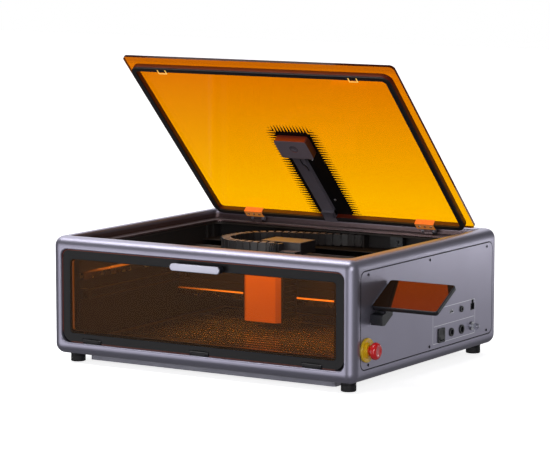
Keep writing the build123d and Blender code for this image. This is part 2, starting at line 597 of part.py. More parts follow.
with BuildPart() as laser_body:
    slab(HEAD_SPAN, HEAD_Y, HEAD_Z, radius=3)
    fin_sides = ((HEAD_SPAN[0], HEAD_SPAN[0] + 4), (HEAD_SPAN[1] - 4, HEAD_SPAN[1]))
    for fin in range(FIN_COUNT):
        fin_z = HEAD_Z[0] + 8 + fin * FIN_PITCH
        for side in fin_sides:
            slab(side, (HEAD_Y[0] + 7, HEAD_Y[1] - 7), (fin_z, fin_z + 4), mode=Mode.SUBTRACT)
    rod((HEAD_X, HEAD_MID_Y), (HEAD_Z[1] - 6, HEAD_Z[1]), 16, mode=Mode.SUBTRACT)

with BuildPart() as laser_cover:
    front_half = 28.5
    side_half = 35.5
    cover_front = HEAD_Y[0] - 7
    outline_points = (
        (HEAD_X - side_half, HEAD_Y[0]),
        (HEAD_X - front_half, cover_front),
        (HEAD_X + front_half, cover_front),
        (HEAD_X + side_half, HEAD_Y[0]),
    )
    cover_z = (HEAD_Z[0] - 6, HEAD_Z[1] + 3)
    prism(outline_points, cover_z)
    pocket_x = (HEAD_X - 31, HEAD_X + 31)
    pocket_z = (cover_z[0], cover_z[1] - 3)
    slab(pocket_x, (cover_front + 2.5, HEAD_Y[0]), pocket_z, mode=Mode.SUBTRACT)

with BuildPart() as laser_nozzle:
    tip = (HEAD_X, 8)
    flange_z = HEAD_Z[0] - 3
    tip_z = flange_z - 5
    rod(tip, (flange_z, HEAD_Z[0]), 16)
    taper(tip, (tip_z, flange_z), (7.0, 11.0))
    rod(tip, (tip_z, HEAD_Z[0] - 1), 3.0, mode=Mode.SUBTRACT)

# ---- drag chain ---------------------------------------------------------------
# The two runs meet on the gantry; each is a smooth curve through a few places.
FRONT_RUN = ((-29, 42), (-60, 32), (-90, 31.5), (-118, 38), (-136, 56), (-145, 86))
REAR_RUN = ((-145, 86), (-143, 116), (-133, 140), (-112, 158), (-55, 177), (10, 197), (45, 203))


def chain_links(points, first_dir, last_dir):
    """Row of equal upright links along a smooth path in the horizontal plane."""
    path = Spline(*points, tangents=(first_dir, last_dir), mode=Mode.PRIVATE)
    count = int(path.length / CHAIN_PITCH)
    pitch = path.length / count
    reach = (pitch - CHAIN_GAP) / 2
    for index in range(count):
        place = (index + 0.5) / count
        spot = path @ place
        link = Plane((spot.X, spot.Y, 0), x_dir=path % place, z_dir=(0, 0, 1))
        outer = (-CHAIN_WIDE / 2, CHAIN_WIDE / 2)
        inner = (outer[0] + CHAIN_WALL, outer[1] - CHAIN_WALL)
        inner_z = (CHAIN_Z[0] + CHAIN_WALL, CHAIN_Z[1] - CHAIN_WALL)
        slab((-reach, reach), outer, CHAIN_Z, radius=1.2, frame=link)
        slab((-reach, reach), inner, inner_z, frame=link, mode=Mode.SUBTRACT)


with BuildPart() as chain_front_run:
    chain_links(FRONT_RUN, (-1, -0.4), (0, 1))

with BuildPart() as chain_rear_run:
    chain_links(REAR_RUN, (0, 1), (1, 0.1))

# ---- electronics and ports ----------------------------------------------------
BOARD_X = (256.0, 257.6)
BOARD_Y = (5.0, 165.0)
BOARD_Z = (47.0, 108.0)
# Terminal block, processor, driver row and regulator: span along, span up, height.
BOARD_BLOCKS = (
    ((14, 26), (70, 98), 9),
    ((40, 56), (74, 96), 5),
    ((88, 98), (66, 100), 7),
    ((122, 134), (70, 84), 4),
)
with BuildPart() as control_board:
    slab(BOARD_X, BOARD_Y, BOARD_Z, "x", 3)
    for y_mid in (BOARD_Y[0] + 6, BOARD_Y[1] - 6):
        for z_mid in (BOARD_Z[0] + 5, BOARD_Z[1] - 5):
            rod((y_mid, z_mid), (LINER_X + SHEET, BOARD_X[0]), 3, "x")
    for y_span, z_span, height in BOARD_BLOCKS:
        slab((BOARD_X[1], BOARD_X[1] + height), y_span, z_span)

with BuildPart() as round_sockets:
    for y_mid, z_mid, flange_r in SOCKETS:
        rod((y_mid, z_mid), (PORT_FACE, PORT_FACE + 1.6), flange_r, "x")
        rod((y_mid, z_mid), (PORT_FACE - 17, PORT_FACE), flange_r - FLANGE_LAP, "x")
        mouth = (PORT_FACE - 10, PORT_FACE + 1.6)
        rod((y_mid, z_mid), mouth, flange_r - 2 * FLANGE_LAP, "x", mode=Mode.SUBTRACT)
        rod((y_mid, z_mid), (PORT_FACE - 10, PORT_FACE - 1), 1.0, "x")


with BuildPart() as usb_socket:
    usb_wall = 1.0
    usb_mouth = (USB_HALF[0] - usb_wall, USB_HALF[1] - usb_wall)
    usb_front = PORT_FACE + 0.4
    port_block((PORT_FACE - 16, usb_front), USB_MID, USB_HALF[0], -USB_HALF[1], USB_HALF[1])
    mouth_depth = (PORT_FACE - 12, usb_front)
    port_block(mouth_depth, USB_MID, usb_mouth[0], -usb_mouth[1], usb_mouth[1], Mode.SUBTRACT)
    port_block((PORT_FACE - 12, PORT_FACE - 2), USB_MID, usb_mouth[0] - 1, -0.4, 0.4)

with BuildPart() as network_jack:
    for half_width, low, high in JACK_STEPS:
        port_block((PORT_FACE - 18, PORT_FACE + 0.6), JACK_MID, half_width, low, high)
    for half_width, low, high in JACK_STEPS:
        cavity = (PORT_FACE - 14, PORT_FACE + 0.6)
        cavity_span = (half_width - JACK_WALL, low + JACK_WALL, high - JACK_WALL)
        port_block(cavity, JACK_MID, *cavity_span, Mode.SUBTRACT)
    slot_half = JACK_STEPS[1][0] - JACK_WALL
    slot_low = JACK_STEPS[0][2] - 2 * JACK_WALL
    port_block(cavity, JACK_MID, slot_half, slot_low, JACK_STEPS[1][1] + 2 * JACK_WALL, Mode.SUBTRACT)

with BuildPart() as key_lock:
    rod((LOCK_Y, LOCK_Z), (PORT_FACE, PORT_FACE + 2.2), LOCK_R, "x")
    rod((LOCK_Y, LOCK_Z), (PORT_FACE - 17, PORT_FACE), LOCK_R - FLANGE_LAP, "x")
    core_hole = (PORT_FACE - 14, PORT_FACE + 2.2)
    rod((LOCK_Y, LOCK_Z), core_hole, CORE_R + PIN_CLEARANCE, "x", mode=Mode.SUBTRACT)

with BuildPart() as key:
    rod((LOCK_Y, LOCK_Z), (PORT_FACE - 13.5, PORT_FACE + 2.4), CORE_R, "x")
    slab((PORT_FACE + 2.4, PORT_FACE + 6), (LOCK_Y - 1, LOCK_Y + 1), (LOCK_Z - 3, LOCK_Z + 3))
    bow_mid = PORT_FACE + 8.5
    rod((bow_mid, LOCK_Z), (LOCK_Y - 1, LOCK_Y + 1), 5.5, "y")
    rod((bow_mid + 2, LOCK_Z), (LOCK_Y - 1, LOCK_Y + 1), 1.8, "y", mode=Mode.SUBTRACT)

with BuildPart() as rocker_bezel:
    slab((PORT_FACE, PORT_FACE + 1.8), ROCKER_Y, ROCKER_Z, "x", 2)
    body_y = (rocker_y[0] + 0.1, rocker_y[1] - 0.1)
    body_z = (rocker_z[0] + 0.1, rocker_z[1] - 0.1)
    slab((PORT_FACE - 18, PORT_FACE), body_y, body_z, "x", ROCKER_CORNER)
    hole_y = (ROCKER_Y[0] + 4, ROCKER_Y[1] - 4)
    hole_z = (ROCKER_Z[0] + 3, ROCKER_Z[1] - 3)
    slab((PORT_FACE - 14, PORT_FACE + 1.8), hole_y, hole_z, "x", mode=Mode.SUBTRACT)

ROCKER_TURN = math.radians(ROCKER_TIP_DEG)
ROCKER_FRAME = Plane(
    origin=(PORT_FACE - 4, 0, (ROCKER_Z[0] + ROCKER_Z[1]) / 2),
    x_dir=(math.cos(ROCKER_TURN), 0, math.sin(ROCKER_TURN)),
    z_dir=(-math.sin(ROCKER_TURN), 0, math.cos(ROCKER_TURN)),
)
with BuildPart() as rocker:
    paddle = ((-3, -2.5), (1.5, -7.6), (6.6, -7.6), (5.2, 0), (6.6, 7.6), (1.5, 7.6), (-3, 2.5))
    paddle_y = (hole_y[0] + 0.3, hole_y[1] - 0.3)
    prism(paddle, paddle_y, "y", frame=ROCKER_FRAME)
    rod((0, 0), paddle_y, ROCKER_HUB_R, "y", frame=ROCKER_FRAME)

with BuildPart() as estop_base:
    rod((ESTOP_Y, ESTOP_Z), (PORT_FACE, PORT_FACE + 3.5), 19, "x")
    fillet(estop_base.edges().group_by(Axis.X)[-1], 1.4)
    rod((ESTOP_Y, ESTOP_Z), (PORT_FACE - 18, PORT_FACE), ESTOP_BARREL_R, "x")
    rod((ESTOP_Y, ESTOP_Z), (PORT_FACE + 3.5, PORT_FACE + 7), 12.5, "x")
    rod((ESTOP_Y, ESTOP_Z), (PORT_FACE - 14, PORT_FACE + 7), 8.0, "x", mode=Mode.SUBTRACT)

with BuildPart() as estop_button:
    rod((ESTOP_Y, ESTOP_Z), (PORT_FACE - 8, PORT_FACE + 12), 7.9, "x")
    rod((ESTOP_Y, ESTOP_Z), (PORT_FACE + 12, PORT_FACE + 22), 13.5, "x")
    fillet(estop_button.edges().group_by(Axis.X)[-1], 3.5)

# ---- tilting display ----------------------------------------------------------
with BuildPart() as display_bracket:
    wedge_points = ((-189, 103), (-189, 119), (-181, 121), (-157, 121.5), (-157, 116), (-181, 102.5))
    prism(wedge_points, (TILT_X[0], TILT_X[1]), "x")
    slab((PORT_FACE, TILT_X[0]), (-187, -160), (106, 119), "x")
    for ear in ((TILT_X[0], TILT_X[0] + 4), (TILT_X[1] - 4, TILT_X[1])):
        rod((TILT_AXIS_Y, TILT_AXIS_Z), ear, 5.0, "x")
        slab(ear, (TILT_AXIS_Y - 5, TILT_AXIS_Y + 5), (120, TILT_AXIS_Z))
        rod((TILT_AXIS_Y, TILT_AXIS_Z), ear, PIN_R + PIN_CLEARANCE, "x", mode=Mode.SUBTRACT)

with BuildPart() as display_housing:
    half_w = DISPLAY_W / 2
    half_h = DISPLAY_H / 2
    slab((-half_w, half_w), (-half_h, half_h), (-DISPLAY_T, 0), radius=5, frame=DISPLAY)
    fillet(display_housing.faces().sort_by(Axis.Z)[0].edges(), 1.5)
    seat_x = (-half_w + 1.5, half_w - 1.5)
    seat_y = (-half_h + 1.5, half_h - 1.5)
    slab(seat_x, seat_y, (-1.0, 0), radius=4, frame=DISPLAY, mode=Mode.SUBTRACT)
    lug_x = (TILT_X[0] + 4.3 - DISPLAY_MID[0], TILT_X[1] - 4.3 - DISPLAY_MID[0])
    slab(lug_x, (-26.5, -17.5), (-DISPLAY_T - 5.5, -DISPLAY_T + 0.5), frame=DISPLAY)
    rod((TILT_AXIS_Y, TILT_AXIS_Z), (TILT_X[0] + 4.3, TILT_X[1] - 4.3), 4.5, "x")
    rod((TILT_AXIS_Y, TILT_AXIS_Z), (TILT_X[0], TILT_X[1]), PIN_R, "x")

with BuildPart() as display_glass:
    glass_x = (seat_x[0] + 0.1, seat_x[1] - 0.1)
    glass_y = (seat_y[0] + 0.1, seat_y[1] - 0.1)
    slab(glass_x, glass_y, (-1.0, 0), radius=4, frame=DISPLAY)

# ---- lid ----------------------------------------------------------------------
with BuildPart() as lid_plate:
    plate_x = (-LID_HALF_W, LID_HALF_W)
    slab(plate_x, (LID_FRONT, LID_REAR), (LID_UNDER, LID_UNDER + LID_THICK), radius=8, frame=LID)

RIM_FOOT = RIM_BOTTOM + GASKET_H


def hinge_notches(up):
    """Gaps in the rear of the rim where the hinge leaves sit."""
    for low, high in HINGE_LEAF_X:
        notch_y = (LEAF_Y[0] - 1, LEAF_Y[1] + 1)
        slab((low - 0.4, high + 0.4), notch_y, up, frame=LID, mode=Mode.SUBTRACT)


with BuildPart() as lid_frame:
    rim_x = (-RIM_HALF_W, RIM_HALF_W)
    rim_y = (RIM_FRONT, RIM_REAR)
    slab(rim_x, rim_y, (RIM_FOOT, LID_UNDER), radius=16, frame=LID)
    rim_inner_x = (-RIM_HALF_W + RIM_WALL, RIM_HALF_W - RIM_WALL)
    rim_inner_y = (RIM_FRONT + RIM_WALL, RIM_REAR - RIM_WALL)
    slab(rim_inner_x, rim_inner_y, (RIM_FOOT, LID_UNDER), radius=6, frame=LID, mode=Mode.SUBTRACT)
    for x_mid in CATCH_X:
        catch_y = (RIM_FRONT + RIM_WALL, RIM_FRONT + RIM_WALL + 3)
        slab((x_mid - 8, x_mid + 8), catch_y, (RIM_FOOT, LID_UNDER), frame=LID)
    hinge_notches((RIM_FOOT, LID_UNDER))

with BuildPart() as lid_gasket:
    inset = 0.6
    gasket_z = (RIM_BOTTOM, RIM_FOOT)
    outer_x = (rim_x[0] + inset, rim_x[1] - inset)
    outer_y = (rim_y[0] + inset, rim_y[1] - inset)
    slab(outer_x, outer_y, gasket_z, radius=15, frame=LID)
    inner_x = (rim_inner_x[0] - inset, rim_inner_x[1] + inset)
    inner_y = (rim_inner_y[0] - inset, rim_inner_y[1] + inset)
    slab(inner_x, inner_y, gasket_z, radius=7, frame=LID, mode=Mode.SUBTRACT)
    hinge_notches(gasket_z)

TAB_HALF = 8.0
KNUCKLE_LEAF = 3.6
with BuildPart() as lid_hinge_leaves:
    for low, high in HINGE_LEAF_X:
        middle = (low + high) / 2
        slab((low, high), LEAF_Y, (LEAF_BOTTOM, LID_UNDER), frame=LID)
        near, far = TAB_HALF + 0.2, TAB_HALF + 5.2
        for ear in ((middle - far, middle - near), (middle + near, middle + far)):
            rod((0, 0), ear, KNUCKLE_LEAF, "x", frame=LID)
            slab(ear, (LEAF_Y[1] - 1, 0), (-1, LID_UNDER - 1.4), frame=LID)
        rod((0, 0), (middle - far, middle + far), PIN_R, "x", frame=LID)

with BuildPart() as lid_hinge_tabs:
    for low, high in HINGE_LEAF_X:
        middle = (low + high) / 2
        tab_x = (middle - TAB_HALF, middle + TAB_HALF)
        rod((LID_AXIS_Y, LID_AXIS_Z), tab_x, 3.4, "x")
        slab(tab_x, (LID_AXIS_Y - 3, RECESS_Y), (RECESS_FLOOR, LID_AXIS_Z))
        rod((LID_AXIS_Y, LID_AXIS_Z), tab_x, PIN_R + PIN_CLEARANCE, "x", mode=Mode.SUBTRACT)

ARM_X = (-25.0, -1.0)
ARM_BOTTOM = -1.0
CAMERA_HEAD_X = (-37.5, 25.0)
CAMERA_HEAD_Y = (-224.5, -180.5)
CAMERA_FACE = LID_UNDER - 12.6
LENS_MID = (-5.0, -205.0)
LENS_R = 8.0
with BuildPart() as camera_arm:
    arm_y = (CAMERA_HEAD_Y[1] - 2, RIM_REAR - RIM_WALL)
    slab(ARM_X, arm_y, (ARM_BOTTOM, LID_UNDER), radius=2, frame=LID)

with BuildPart() as camera_head:
    slab(CAMERA_HEAD_X, CAMERA_HEAD_Y, (CAMERA_FACE, LID_UNDER), radius=6, frame=LID)
    arm_seat_x = (ARM_X[0] - 1, ARM_X[1] + 1)
    arm_seat_y = (CAMERA_HEAD_Y[1] - 3, CAMERA_HEAD_Y[1])
    slab(arm_seat_x, arm_seat_y, (ARM_BOTTOM - 1, LID_UNDER), frame=LID, mode=Mode.SUBTRACT)
    fillet(camera_head.faces().sort_by(LID_UP)[0].edges(), 1.0)
    lens_seat = (CAMERA_FACE, CAMERA_FACE + 5)
    rod(LENS_MID, lens_seat, LENS_R + 0.2, frame=LID, mode=Mode.SUBTRACT)

with BuildPart() as camera_lens:
    ring_face = CAMERA_FACE + 0.5
    cup_floor = CAMERA_FACE + 3
    rod(LENS_MID, (ring_face, lens_seat[1]), LENS_R, frame=LID)
    rod(LENS_MID, (ring_face, cup_floor), 5.0, frame=LID, mode=Mode.SUBTRACT)
    rod(LENS_MID, (ring_face + 1.3, cup_floor), 3.6, frame=LID)

# ---- front door ---------------------------------------------------------------
NOTCH_HALF = LEAF_HALF + 0.8
NOTCH_TOP = 43.4
with BuildPart() as door_panel:
    door_y = (DOOR_FACE_Y, DOOR_FACE_Y + DOOR_THICK)
    with BuildSketch(cross_plane(WORLD, "y", door_y[1])) as door_outline:
        with Locations((0, (DOOR_Z[0] + DOOR_Z[1]) / 2)):
            Rectangle(2 * DOOR_X, DOOR_Z[1] - DOOR_Z[0])
        # The lower corners are rounder, so that they clear the opening's corners as the door drops.
        fillet(door_outline.vertices().group_by(Axis.Y)[0], DOOR_LOW_CORNER)
        fillet(door_outline.vertices().group_by(Axis.Y)[-1], DOOR_CORNER)
    extrude(amount=DOOR_THICK)
    for x_mid in DOOR_HINGE_X:
        notch_x = (x_mid - NOTCH_HALF, x_mid + NOTCH_HALF)
        slab(notch_x, door_y, (DOOR_Z[0] - 1, NOTCH_TOP), mode=Mode.SUBTRACT)

FRAME_Y = (DOOR_FACE_Y + DOOR_THICK, DOOR_FACE_Y + DOOR_THICK + DOOR_FRAME_THICK)
LEAF_TOP = 52.2
with BuildPart() as door_frame:
    slab((-DOOR_X + 3, DOOR_X - 3), FRAME_Y, (DOOR_Z[0] + 2.5, DOOR_Z[1] - 2.5), "y", 9)
    window_x = (-DOOR_X + DOOR_BORDER, DOOR_X - DOOR_BORDER)
    window_z = (DOOR_Z[0] + DOOR_BORDER + 2, DOOR_Z[1] - DOOR_BORDER)
    slab(window_x, FRAME_Y, window_z, "y", 6, mode=Mode.SUBTRACT)
    for x_mid in DOOR_HINGE_X:
        notch_x = (x_mid - NOTCH_HALF, x_mid + NOTCH_HALF)
        slab(notch_x, FRAME_Y, (DOOR_Z[0], LEAF_TOP + 0.2), mode=Mode.SUBTRACT)

with BuildPart() as door_knuckles:
    for x_mid in DOOR_HINGE_X:
        leaf_x = (x_mid - LEAF_HALF, x_mid + LEAF_HALF)
        leaf_y = (FRAME_Y[0], FRAME_Y[0] + 2)
        slab(leaf_x, leaf_y, (NOTCH_TOP - 0.2, LEAF_TOP))
        ear_reach = KNUCKLE_HALF + 0.4
        for ear in ((leaf_x[0], x_mid - ear_reach), (x_mid + ear_reach, leaf_x[1])):
            rod((DOOR_AXIS_Y, DOOR_AXIS_Z), ear, KNUCKLE_R, "x")
            slab(ear, (DOOR_AXIS_Y, leaf_y[1]), (DOOR_AXIS_Z, NOTCH_TOP - 0.2))
        rod((DOOR_AXIS_Y, DOOR_AXIS_Z), leaf_x, PIN_R, "x")

with BuildPart() as door_hinge_brackets:
    for x_mid in DOOR_HINGE_X:
        span = (x_mid - KNUCKLE_HALF, x_mid + KNUCKLE_HALF)
        rod((DOOR_AXIS_Y, DOOR_AXIS_Z), span, KNUCKLE_R, "x")
        slab(span, (DOOR_AXIS_Y - 3, DOOR_AXIS_Y + 3), (DOOR_OPEN_Z[0], DOOR_AXIS_Z))
        rod((DOOR_AXIS_Y, DOOR_AXIS_Z), span, PIN_R + PIN_CLEARANCE, "x", mode=Mode.SUBTRACT)

HANDLE_X = (-46.3, 46.3)
HANDLE_Z = (169.2, 180.6)
with BuildPart() as door_handle_body:
    slab(HANDLE_X, (DOOR_FACE_Y - 11, DOOR_FACE_Y), HANDLE_Z, "y", 5.6)

with BuildPart() as door_handle_cap:
    slab(HANDLE_X, (DOOR_FACE_Y - 13.6, DOOR_FACE_Y - 11), HANDLE_Z, "y", 5.6)
    fillet(door_handle_cap.edges().group_by(Axis.Y)[0], 0.8)

# ---- one file per piece -------------------------------------------------------
PIECES = {
    "body_shell": body_shell,
    "side_panel_left": side_panel_left,
    "side_panel_right": side_panel_right,
    "back_panel": back_panel,
    "base_tray": base_tray,
    "panel_screws": panel_screws,
    "feet": feet,
    "inner_liner": inner_liner,
    "bed_frame": bed_frame,
    "bed_slats": bed_slats,
    "flame_sensor": flame_sensor,
    "fan_frame": fan_frame,
    "fan_rotor": fan_rotor,
    "exhaust_collar": exhaust_collar,
    "y_rails": y_rails,
    "y_belts": y_belts,
    "y_belt_supports": y_belt_supports,
    "y_shaft": y_shaft,
    "y_motor": y_motor,
    "gantry_beam": gantry_beam,
    "gantry_ends": gantry_ends,
    "x_rail": x_rail,
    "x_belt": x_belt,
    "x_motor": x_motor,
    "x_pulley": x_pulley,
    "carriage_plate": carriage_plate,
    "carriage_cover": carriage_cover,
    "laser_body": laser_body,
    "laser_cover": laser_cover,
    "laser_nozzle": laser_nozzle,
    "chain_front_run": chain_front_run,
    "chain_rear_run": chain_rear_run,
    "control_board": control_board,
    "round_sockets": round_sockets,
    "usb_socket": usb_socket,
    "network_jack": network_jack,
    "key_lock": key_lock,
    "key": key,
    "rocker_bezel": rocker_bezel,
    "rocker": rocker,
    "estop_base": estop_base,
    "estop_button": estop_button,
    "display_bracket": display_bracket,
    "display_housing": display_housing,
    "display_glass": display_glass,
    "lid_plate": lid_plate,
    "lid_frame": lid_frame,
    "lid_gasket": lid_gasket,
    "lid_hinge_leaves": lid_hinge_leaves,
    "lid_hinge_tabs": lid_hinge_tabs,
    "camera_arm": camera_arm,
    "camera_head": camera_head,
    "camera_lens": camera_lens,
    "door_panel": door_panel,
    "door_frame": door_frame,
    "door_knuckles": door_knuckles,
    "door_hinge_brackets": door_hinge_brackets,
    "door_handle_body": door_handle_body,
    "door_handle_cap": door_handle_cap,
}

os.makedirs("parts", exist_ok=True)
for piece_name, piece in PIECES.items():
    piece.part.label = piece_name
    export_step(piece.part, f"parts/{piece_name}.step")
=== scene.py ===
import json
import math

import bmesh
import bpy
from mathutils import Matrix, Vector


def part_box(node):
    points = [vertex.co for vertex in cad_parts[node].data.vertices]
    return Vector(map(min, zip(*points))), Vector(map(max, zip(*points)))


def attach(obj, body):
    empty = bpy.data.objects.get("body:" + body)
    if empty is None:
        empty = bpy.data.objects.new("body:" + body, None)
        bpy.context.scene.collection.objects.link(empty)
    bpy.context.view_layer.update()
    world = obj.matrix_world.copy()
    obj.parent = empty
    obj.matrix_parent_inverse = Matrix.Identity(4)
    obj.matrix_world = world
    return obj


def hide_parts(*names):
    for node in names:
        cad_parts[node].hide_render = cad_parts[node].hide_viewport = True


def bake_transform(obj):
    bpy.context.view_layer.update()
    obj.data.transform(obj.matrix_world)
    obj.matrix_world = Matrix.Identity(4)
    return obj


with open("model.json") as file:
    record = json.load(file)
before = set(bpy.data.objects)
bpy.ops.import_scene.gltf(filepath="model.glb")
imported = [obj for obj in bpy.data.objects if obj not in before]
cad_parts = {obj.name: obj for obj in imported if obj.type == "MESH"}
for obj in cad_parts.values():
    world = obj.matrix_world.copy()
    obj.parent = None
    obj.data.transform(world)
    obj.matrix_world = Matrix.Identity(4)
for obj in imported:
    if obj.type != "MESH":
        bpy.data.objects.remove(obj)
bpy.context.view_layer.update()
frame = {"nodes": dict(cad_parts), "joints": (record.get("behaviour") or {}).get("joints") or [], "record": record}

# Enclosed desktop laser cutter with its lid open. Metres, +Z up, front towards -Y.
MM = 0.001
SLOT_OF_NODE = {part["node"]: part["material_slot"] for part in frame["record"]["subparts"]}

# ---- places worked out from the frame -------------------------------------------
# At rest the lid is open by the whole of its hinge's closing travel.
LID_HINGE = next(joint for joint in frame["joints"] if joint["name"] == "lid_hinge")
LID_OPEN = math.radians(-LID_HINGE["range_deg"][0])
LID_FORWARD = Vector((0, -math.cos(LID_OPEN), math.sin(LID_OPEN)))
LID_UP = Vector((0, math.sin(LID_OPEN), math.cos(LID_OPEN)))
HINGE = Vector(LID_HINGE["pos_m"])


# ---- node trees -------------------------------------------------------------------
class Shading:
    """Short way to wire the nodes of one material or of the world."""

    def __init__(self, name, owner=None):
        self.owner = owner or bpy.data.materials.new(name)
        self.owner.use_nodes = True
        self.tree = self.owner.node_tree
        self.tree.nodes.clear()

    def node(self, kind, inputs=None, **settings):
        """New shader node with its settings, and its inputs given by name or number."""
        made = self.tree.nodes.new("ShaderNode" + kind)
        for name, value in settings.items():
            setattr(made, name, value)
        for name, value in (inputs or {}).items():
            self.feed(made.inputs[name], value)
        return made

    def feed(self, socket, value):
        """Link a socket or set a plain value."""
        if isinstance(value, bpy.types.NodeSocket):
            self.tree.links.new(value, socket)
        elif socket.type == "RGBA" and len(value) == 3:
            socket.default_value = (*value, 1.0)
        else:
            socket.default_value = value

    def math(self, operation, *values):
        numbered = dict(enumerate(values))
        return self.node("Math", numbered, operation=operation).outputs[0]

    def vector(self, operation, *values, out=0):
        numbered = dict(enumerate(values))
        return self.node("VectorMath", numbered, operation=operation).outputs[out]

    def ramp(self, value, low, high, first=0.0, last=1.0, smooth=False):
        """Value carried from the range low..high to first..last, held at the ends."""
        kind = "SMOOTHSTEP" if smooth else "LINEAR"
        inputs = {0: value, 1: low, 2: high, 3: first, 4: last}
        return self.node("MapRange", inputs, interpolation_type=kind).outputs[0]

    def blend(self, share, first, second):
        """Colour between two colours."""
        mixed = self.node("Mix", {0: share, 6: first, 7: second}, data_type="RGBA")
        return mixed.outputs[2]

    def place(self):
        """Shaded place in the row frame at rest."""
        return self.node("TexCoord").outputs["Object"]

    def facing(self):
        """Unit normal in the row frame at rest, turned towards the viewer."""
        return self.node("TexCoord").outputs["Normal"]

    def lean(self, direction):
        """How far the surface faces a fixed direction: 1 straight at it, -1 straight away."""
        return self.vector("DOT_PRODUCT", self.facing(), tuple(direction), out=1)

    def ray(self, kind):
        """1 for rays of one kind, 0 for others."""
        return self.node("LightPath").outputs[f"Is {kind} Ray"]

    def part(self, vector, axis):
        """One axis of a vector."""
        return self.node("SeparateXYZ", {0: vector}).outputs["XYZ".index(axis.upper())]

    def noise(self, scale, detail=2.0, stretch=None):
        spot = self.place()
        if stretch:
            spot = self.vector("MULTIPLY", spot, stretch)
        inputs = {"Vector": spot, "Scale": scale, "Detail": detail}
        return self.node("TexNoise", inputs).outputs["Fac"]

    def bump(self, height, distance, normal=None):
        inputs = {"Height": height, "Distance": distance, "Strength": 1.0}
        if normal is not None:
            inputs["Normal"] = normal
        return self.node("Bump", inputs).outputs[0]

    def rounded(self, radius):
        """Normal that is softened over sharp edges."""
        return self.node("Bevel", {"Radius": radius}, samples=4).outputs[0]

    def edges(self, radius):
        """1 on sharp edges, 0 on flats."""
        plain = self.node("NewGeometry").outputs["Normal"]
        along = self.vector("DOT_PRODUCT", self.rounded(radius), plain, out=1)
        return self.ramp(along, 0.995, 0.8)

    def principled(self, **inputs):
        named = {name.replace("_", " "): value for name, value in inputs.items()}
        return self.node("BsdfPrincipled", named).outputs[0]

    def mix(self, share, first, second):
        return self.node("MixShader", {0: share, 1: first, 2: second}).outputs[0]

    def done(self, surface):
        """Wire the surface to the output, and hand back the finished material or world."""
        kind = "World" if isinstance(self.owner, bpy.types.World) else "Material"
        self.node(f"Output{kind}", {"Surface": surface})
        return self.owner


def srgb(red, green, blue):
    """Linear colour of an everyday 0-255 colour."""
    shares = [level / 255 for level in (red, green, blue)]
    return tuple(((share + 0.055) / 1.055) ** 2.4 if share > 0.04 else share / 12.92 for share in shares)


def shade(color, factor):
    """Colour made lighter or darker by a factor."""
    return tuple(min(1.0, c * factor) for c in color)


# Amber glint of the work light on chosen edges. Only the camera sees it, so it lights nothing else.
GLINT = (0.48, 0.27, 0.07)


def coated(
    name,
    color,
    rough,
    metallic=0.0,
    grain=900.0,
    depth=0.02,
    mottle=0.08,
    wear_and_highlight=1.25,
    round_edge=0.0005,
    stretch=None,
    clear=0.0,
    uneven=0.06,
    extra=None,
):
    """Painted, moulded or machined surface: mottled colour, uneven gloss, fine grain, and sharp edges lightened as
    edge wear and painted edge highlight.

    The grain's depth is in millimetres. A function given as extra changes the colour and gloss in
    places, and returns them with the strength of a glint.
    """
    n = Shading(name)
    clouds = n.noise(14.0, 4.0)
    tone = n.blend(n.ramp(clouds, 0.3, 0.7), shade(color, 1 - mottle), shade(color, 1 + mottle))
    # Sharp edges are lightened: partly edge wear, partly a painted edge highlight.
    tone = n.blend(n.math("MULTIPLY", n.edges(round_edge), 0.7), tone, shade(color, wear_and_highlight))
    smear = n.noise(55.0, 3.0, stretch)
    gloss = n.ramp(smear, 0.25, 0.75, max(0.02, rough - uneven), rough + uneven)
    fine = n.noise(grain, 2.0, stretch)
    normal = n.bump(fine, depth * MM, n.rounded(round_edge))
    glow = 0.0
    if extra:
        tone, gloss, glow = extra(n, tone, gloss)
    if glow:
        glow = n.math("MULTIPLY", glow, n.ray("Camera"))
    return n.done(
        n.principled(
            Base_Color=tone,
            Roughness=gloss,
            Metallic=metallic,
            Normal=normal,
            Coat_Weight=clear,
            Coat_Roughness=0.15,
            Emission_Color=GLINT,
            Emission_Strength=glow,
        )
    )


def offset_from(n, value, middle):
    """Distance along one axis from a middle, never negative."""
    return n.math("ABSOLUTE", n.math("SUBTRACT", value, middle))


def window_distance(n, across, up, centre, half, radius):
    """Signed distance from a rounded rectangle, negative inside it."""
    gap_a = n.math("SUBTRACT", offset_from(n, across, centre[0]), half[0] - radius)
    gap_b = n.math("SUBTRACT", offset_from(n, up, centre[1]), half[1] - radius)
    out_a = n.math("MAXIMUM", gap_a, 0.0)
    out_b = n.math("MAXIMUM", gap_b, 0.0)
    outside = n.math("SQRT", n.math("ADD", n.math("POWER", out_a, 2.0), n.math("POWER", out_b, 2.0)))
    inside = n.math("MINIMUM", n.math("MAXIMUM", gap_a, gap_b), 0.0)
    return n.math("SUBTRACT", n.math("ADD", outside, inside), radius)


# ---- materials ----------------------------------------------------------------------
CASE = srgb(158, 155, 172)
CASE_SHADOW = srgb(26, 24, 32)
SHEET_CORNER = 12 * MM
# Half sizes of the recess round the shut lid, and the heights between which painted warm shade darkens its walls.
RECESS_HALF = (262.6 * MM, 216.6 * MM)
RECESS_SHADE = (198 * MM, 205.5 * MM)
# Black patch printed on the lid round the camera: reach from the hinge line, and its fringe of teeth.
PATCH_REACH = (20 * MM, 234.5 * MM)
PATCH_PAST_CAMERA = 6 * MM
PATCH_CORNER = 10 * MM
TOOTH_PITCH = 6.2 * MM
TOOTH_LENGTH = 18 * MM
# Reach from the hinge line at which the lid's deeper front strip begins, and the heights of its fade.
RIM_REACH = 391 * MM
LID_FADE = (250 * MM, 470 * MM)
# Black border printed on the door.
DOOR_BORDER = 14.5 * MM
DOOR_CORNER = 11 * MM
WINDOW_CORNER = 6 * MM


